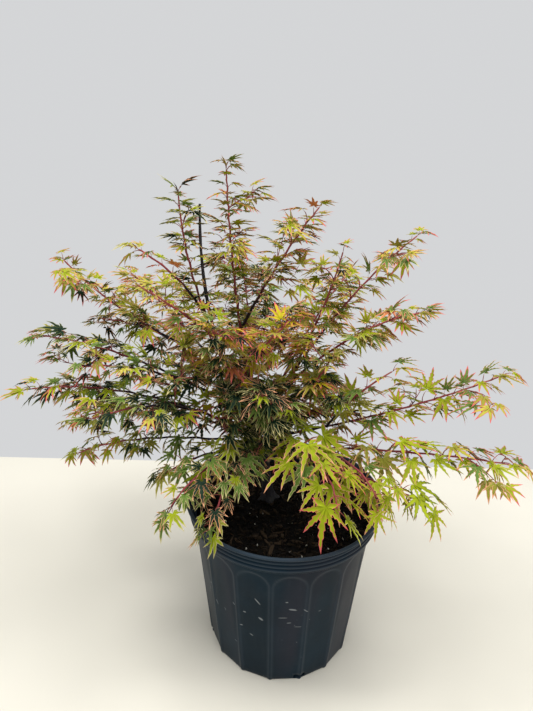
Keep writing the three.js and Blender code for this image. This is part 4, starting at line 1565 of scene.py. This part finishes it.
def body_radius(height, angle, facets):
    """A cone cut by flat facets, each sunk a little behind thin ribs that meet above it in an arch.
    Returns its radius and the strength of the painted highlight along its edges, from 0 to 1."""
    share = height / BAND_FOOT
    cone = BASE_RADIUS + (BODY_TOP_RADIUS - BASE_RADIUS) * share
    half = math.pi / facets
    turn = (angle - FACET_TURN) % (2 * half) - half
    at_rise = BASE_RADIUS + (BODY_TOP_RADIUS - BASE_RADIUS) * FACET_RISE / BAND_FOOT
    flat = BASE_RADIUS * math.cos(half)
    facet = (flat + (at_rise - flat) * height / FACET_RISE) / math.cos(turn)
    room = half * cone - RIB_HALF_WIDTH
    above = max(0.0, height - (ARCH_TOP - room))
    inside = room - math.hypot(turn * cone, above)
    sunk = min(1.0, max(0.0, inside / PANEL_EDGE))
    # painted highlight along the panel's edge, returned as worn
    worn = math.exp(-((inside - HIGHLIGHT_PLACE * PANEL_EDGE) / (HIGHLIGHT_WIDTH * PANEL_EDGE)) ** 2)
    return min(cone, facet) - PANEL_DEPTH * sunk * sunk * (3 - 2 * sunk), worn


def pot_angle(point):
    """The angle of a point from the front, towards +X."""
    return math.atan2(point[0], -point[1])


def in_drain(face):
    """Whether a face of the wall lies where one of the four drain notches is cut."""
    centre = face.calc_center_median()
    if centre.z > DRAIN_HEIGHT or centre.z < 0.1 * MM:
        return False
    turn = (pot_angle(centre) - DRAIN_TURN + math.pi / 4) % (math.pi / 2) - math.pi / 4
    return abs(turn) * BASE_RADIUS < DRAIN_HALF_WIDTH


class POTTED_MAPLE_OT_pot(bpy.types.Operator):
    """Makes the pot: a faceted body with drain notches, and a ridged rim"""

    bl_idname = "potted_maple.pot"
    bl_label = "Pot"

    def execute(self, context):
        settings = context.scene.potted_maple_pot
        plastic = pot_plastic(settings.plastic, settings.scuff)
        body = self.body(settings)
        rim = self.rim(settings)
        piece_from_bmesh("pot_body", body, plastic, ["pot"])
        piece_from_bmesh("pot_rim", rim, plastic)
        return {"FINISHED"}

    @staticmethod
    def body(settings):
        """The wall and base, given their thickness at the end."""
        mesh = bmesh.new()
        # the "rubbed" layer holds the painted highlight along the ribs
        rubbed = mesh.verts.layers.float.new("rubbed")
        half = math.pi / settings.facets
        count = settings.facets * FACET_STEPS
        ring = bmesh.ops.create_circle(mesh, segments=count, radius=BASE_RADIUS)["verts"]
        for vert in ring:
            turn = pot_angle(vert.co)
            middle = (math.floor(turn / (2 * half)) * 2 + 1) * half
            turn = FACET_TURN + middle + half * math.sin((turn - middle) / half * math.pi / 2)
            vert.co = Vector((math.sin(turn), -math.cos(turn), 0.0)) * BASE_RADIUS
        edges = base_edges = ring_edges(ring)
        inner = ring
        for radius in (BASE_RADIUS - DRAIN_DEPTH, *BASE_RINGS):
            inner, base_edges = extruded(mesh, base_edges)
            for vert in inner:
                vert.co.xy = vert.co.xy.normalized() * radius
        bmesh.ops.edgeloop_fill(mesh, edges=base_edges)
        rows = [(0.0, ring)]
        for level in WALL_LEVELS:
            row, edges = extruded(mesh, edges)
            rows.append((level, row))
        for level, row in rows:
            for vert in row:
                angle = pot_angle(vert.co)
                radius, vert[rubbed] = body_radius(level, angle, settings.facets)
                if level == 0.0:
                    radius -= BASE_CHAMFER
                vert.co = Vector((math.sin(angle) * radius, -math.cos(angle) * radius, level))
        cut = [face for face in mesh.faces if in_drain(face)]
        bmesh.ops.delete(mesh, geom=cut, context="FACES")
        bmesh.ops.recalc_face_normals(mesh, faces=mesh.faces)
        wall = [face for face in mesh.faces if abs(face.normal.z) < 0.5]
        if wall[0].normal.xy.dot(wall[0].calc_center_median().xy) < 0:
            bmesh.ops.reverse_faces(mesh, faces=mesh.faces)
        bmesh.ops.solidify(mesh, geom=mesh.faces[:], thickness=settings.wall)
        return mesh

    @staticmethod
    def rim(settings):
        """The rim: its section, spun once round."""
        section = list(RIM_OUTSIDE)
        for drop in RIM_RIDGES:
            for step, rise in RIDGE_SECTION:
                section.append((drop + step, RIDGE_FOOT - RIDGE_ROOT + rise * settings.ridge))
        section += RIM_LIP
        mesh = bmesh.new()
        verts = bmesh.ops.create_vert(mesh, co=(section[0][1], 0.0, POT_HEIGHT - section[0][0]))["vert"]
        for drop, radius in section[1:]:
            vert = bmesh.ops.extrude_vert_indiv(mesh, verts=[verts[-1]])["verts"][0]
            vert.co = Vector((radius, 0.0, POT_HEIGHT - drop))
            verts.append(vert)
        bmesh.ops.contextual_create(mesh, geom=[verts[0], verts[-1]])
        bmesh.ops.spin(mesh, geom=mesh.verts[:] + mesh.edges[:], cent=(0, 0, 0), axis=(0, 0, 1),
                       dvec=(0, 0, 0), angle=2 * math.pi, steps=160, use_merge=True)
        bmesh.ops.remove_doubles(mesh, verts=mesh.verts, dist=1e-6)
        bmesh.ops.recalc_face_normals(mesh, faces=mesh.faces)
        return mesh


# ---------- soil ----------


CROWN, SINK, HUMP, ROUGH = 0.0055, 0.0012, 0.0028, 0.0011  # heights of the bed's forms
BED_RADIUS = BODY_TOP_RADIUS - 0.0035
BED_FOOT, BED_FOOT_RADIUS = 0.005, BASE_RADIUS - 0.0045
STREWN_RADIUS = BODY_TOP_RADIUS - 0.0045
CHUNK_TAPER = 0.7  # width of a chunk's top over its bottom
CHUNK_SHAPES = 5  # how many chunks of a kind differ


def soil_level(x, y):
    """The height of the soil: crowned, humped and rough."""
    share = min(1.0, math.hypot(x, y) / BODY_TOP_RADIUS)
    hump = noise.noise(Vector((x * 24, y * 24, 0.3))) * HUMP
    rough = noise.noise(Vector((x * 140, y * 140, 7.1))) * ROUGH
    return SOIL_TOP - CROWN * share * share - SINK + hump + rough


def chunk_shape(rng, sides):
    """A torn lump, 1 long along +Y: a low prism, narrower above, with its corners pushed about."""
    mesh = bmesh.new()
    ring = bmesh.ops.create_circle(mesh, cap_ends=True, segments=sides, radius=0.5)["verts"]
    for vert in ring:
        vert.co.x *= rng.uniform(0.6, 1.0)
        vert.co.y *= rng.uniform(0.8, 1.1)
    top = bmesh.ops.extrude_face_region(mesh, geom=mesh.faces[:])["geom"]
    lifted = [item for item in top if isinstance(item, bmesh.types.BMVert)]
    for vert in lifted:
        vert.co.z += rng.uniform(0.7, 1.3)
        vert.co.x *= CHUNK_TAPER
        vert.co.y *= rng.uniform(0.75, 1.0)
    bmesh.ops.recalc_face_normals(mesh, faces=mesh.faces)
    return shape_of(mesh)


class POTTED_MAPLE_OT_soil(bpy.types.Operator):
    """Makes the potting mix: a rough bed, bark chips, crumbs and a few pale grains"""

    bl_idname = "potted_maple.soil"
    bl_label = "Soil"

    def execute(self, context):
        settings = context.scene.potted_maple_soil
        rng = np.random.default_rng(11)
        piece_from_bmesh("soil_bed", self.bed(), potting_mix(settings.soil), ["soil"])
        chip, soil = settings.chip, settings.soil
        heaps = (  # name, count, ranges of length, and of width and depth over the length, material
            ("bark_chips_dark", int(settings.chips * 0.6), (0.005, 0.019), (0.25, 0.55), (0.10, 0.22),
             bark_chip("bark_chip_dark", tinted(chip, 0.42))),
            ("bark_chips_brown", int(settings.chips * 0.4), (0.005, 0.022), (0.15, 0.42), (0.08, 0.18),
             bark_chip("bark_chip_brown", tinted(chip, 1.5))),
            ("soil_crumbs", settings.crumbs, (0.0016, 0.0045), (0.6, 1.0), (0.4, 0.8),
             bark_chip("soil_crumb", tinted(soil, 1.5))),
            ("pale_grains", settings.grains, (0.0013, 0.0034), (0.7, 1.0), (0.6, 0.9), pale_grain()),
        )
        for name, count, length, width, depth, material in heaps:
            shapes = [chunk_shape(rng, 6 if "chips" in name else 5) for _ in range(CHUNK_SHAPES)]
            parts = [self.scattered(shape, count // CHUNK_SHAPES, length, width, depth, rng)
                     for shape in shapes]
            piece_from_arrays(name, parts, material, smooth=False)
        return {"FINISHED"}

    @staticmethod
    def bed():
        """The bulk of the mix, closed below and rough on top."""
        mesh = bmesh.new()
        ring = bmesh.ops.create_circle(mesh, segments=96, radius=BED_RADIUS)["verts"]
        edges = ring_edges(ring)
        low, low_edges = extruded(mesh, edges)
        for vert in low:
            vert.co = Vector((*(vert.co.xy.normalized() * BED_FOOT_RADIUS), BED_FOOT))
        bmesh.ops.edgeloop_fill(mesh, edges=low_edges)
        rows = list(ring)
        for share in np.linspace(1, 0, 34)[1:-1]:
            ring, edges = extruded(mesh, edges)
            for vert in ring:
                vert.co.xy = vert.co.xy.normalized() * BED_RADIUS * share
            rows += ring
        bmesh.ops.edgeloop_fill(mesh, edges=edges)
        for vert in rows:
            vert.co.z = soil_level(vert.co.x, vert.co.y)
        bmesh.ops.recalc_face_normals(mesh, faces=mesh.faces)
        return mesh

    @staticmethod
    def scattered(shape, count, length, width, depth, rng):
        """Pieces of one shape strewn over the soil, lying mostly flat."""
        turns, places = [], []
        for _ in range(count):
            distance = STREWN_RADIUS * math.sqrt(rng.random())
            angle = rng.uniform(0, 2 * math.pi)
            x, y = distance * math.cos(angle), distance * math.sin(angle)
            long = length[0] + (length[1] - length[0]) * rng.random() ** 2.2
            wide, deep = long * rng.uniform(*width), long * rng.uniform(*depth)
            room = BODY_TOP_RADIUS - 0.004 - long * 0.5
            if distance > room:
                x, y = x * room / distance, y * room / distance
            tilt = Euler((rng.normal(0, 0.28), rng.normal(0, 0.28), rng.uniform(0, 2 * math.pi)))
            turns.append(np.array(tilt.to_matrix()) @ np.diag((wide, long, deep)))
            places.append((x, y, soil_level(x, y) + rng.uniform(-0.3, 0.25) * deep))
        return stamp(shape, np.array(turns), np.array(places))


# ---------- stage ----------

CAMERA_PLACE = (-0.0254, -0.6007, 0.6623)
CAMERA_PITCH = math.radians(19.92)
CAMERA_ROLL = math.radians(1.18)
CAMERA_YAW = math.radians(-0.32)
CAMERA_LENS = 24.96
FLOOR_BACK = 0.45
FLOOR_HALF_WIDTH, FLOOR_HALF_DEPTH = 3.0, 1.7
FLOOR_SINK = 0.0003  # so that the pot's base stands clear of it
AIM = (0.0, 0.0, 0.25)  # at which the lamps look
LAMPS = (  # name, place and size
    ("lamp_left", (-0.9, -0.1, 2.1), 0.5),
    ("lamp_right", (0.9, -0.2, 2.1), 0.5),
    ("lamp_top", (0.1, -0.7, 2.4), 0.9),
)


class POTTED_MAPLE_OT_stage(bpy.types.Operator):
    """Makes the floor, the soft light and the camera"""

    bl_idname = "potted_maple.stage"
    bl_label = "Stage"

    def execute(self, context):
        settings = context.scene.potted_maple_stage
        scene = context.scene
        mesh = bmesh.new()
        bmesh.ops.create_grid(mesh, x_segments=24, y_segments=16, size=1.0)
        bmesh.ops.scale(mesh, vec=(FLOOR_HALF_WIDTH, FLOOR_HALF_DEPTH, 1.0), verts=mesh.verts)
        middle = (0.0, FLOOR_BACK - FLOOR_HALF_DEPTH, -FLOOR_SINK)
        bmesh.ops.translate(mesh, vec=middle, verts=mesh.verts)
        data = bpy.data.meshes.new("floor")
        mesh.to_mesh(data)
        mesh.free()
        data.materials.append(floor_paint(settings.floor))
        floor = bpy.data.objects.new("floor", data)
        scene.collection.objects.link(floor)

        world = bpy.data.worlds.new("surroundings")
        world.use_nodes = True
        background = world.node_tree.nodes["Background"]
        background.inputs["Color"].default_value = (*settings.air, 1.0)
        background.inputs["Strength"].default_value = 1.0
        scene.world = world

        for name, place, size in LAMPS:
            self.lamp(name, place, size, settings.lamp, scene)

        camera = bpy.data.cameras.new("camera")
        camera.lens = CAMERA_LENS
        camera.sensor_width = 36.0
        camera.clip_start = 0.01
        eye = bpy.data.objects.new("camera", camera)
        scene.collection.objects.link(eye)
        turn = Euler((math.pi / 2 - CAMERA_PITCH, 0.0, -CAMERA_YAW)).to_matrix()
        turn = turn @ Matrix.Rotation(CAMERA_ROLL, 3, "Z")
        eye.matrix_world = Matrix.Translation(CAMERA_PLACE) @ turn.to_4x4()
        scene.camera = eye
        scene.view_settings.view_transform = "Standard"
        scene.view_settings.look = "None"
        return {"FINISHED"}

    @staticmethod
    def lamp(name, place, size, power, scene):
        """A square area lamp that looks at the plant."""
        light = bpy.data.lights.new(name, "AREA")
        light.shape = "SQUARE"
        light.size = size
        light.energy = power
        lamp = bpy.data.objects.new(name, light)
        scene.collection.objects.link(lamp)
        lamp.location = place
        towards = Vector(AIM) - Vector(place)
        lamp.rotation_euler = towards.to_track_quat("-Z", "Y").to_euler()


# ---------- panel ----------


class POTTED_MAPLE_PT_panel(bpy.types.Panel):
    """Lists the pieces of the potted maple and their settings"""

    bl_idname = "POTTED_MAPLE_PT_panel"
    bl_label = "Potted Maple"
    bl_space_type = "VIEW_3D"
    bl_region_type = "UI"
    bl_category = "Potted Maple"

    def draw(self, context):
        layout = self.layout
        for attribute, group in SETTINGS.items():
            box = layout.box()
            for name in group.__annotations__:
                box.prop(getattr(context.scene, attribute), name)
        for operator in OPERATORS:
            layout.operator(operator.bl_idname)


OPERATORS = (
    POTTED_MAPLE_OT_stage,
    POTTED_MAPLE_OT_pot,
    POTTED_MAPLE_OT_soil,
    POTTED_MAPLE_OT_trunk,
    POTTED_MAPLE_OT_boughs,
    POTTED_MAPLE_OT_twigs,
    POTTED_MAPLE_OT_leaves,
)


def register():
    for group in SETTINGS.values():
        bpy.utils.register_class(group)
    for operator in OPERATORS:
        bpy.utils.register_class(operator)
    bpy.utils.register_class(POTTED_MAPLE_PT_panel)
    for attribute, group in SETTINGS.items():
        setattr(bpy.types.Scene, attribute, PointerProperty(type=group))


def unregister():
    for attribute in SETTINGS:
        delattr(bpy.types.Scene, attribute)
    bpy.utils.unregister_class(POTTED_MAPLE_PT_panel)
    for operator in reversed(OPERATORS):
        bpy.utils.unregister_class(operator)
    for group in reversed(SETTINGS.values()):
        bpy.utils.unregister_class(group)


def main():
    """Makes every piece in order."""
    register()
    bpy.ops.potted_maple.stage()
    bpy.ops.potted_maple.pot()
    bpy.ops.potted_maple.soil()
    bpy.ops.potted_maple.trunk()
    bpy.ops.potted_maple.boughs()
    bpy.ops.potted_maple.twigs()
    bpy.ops.potted_maple.leaves()


if __name__ == "__main__":
    main()
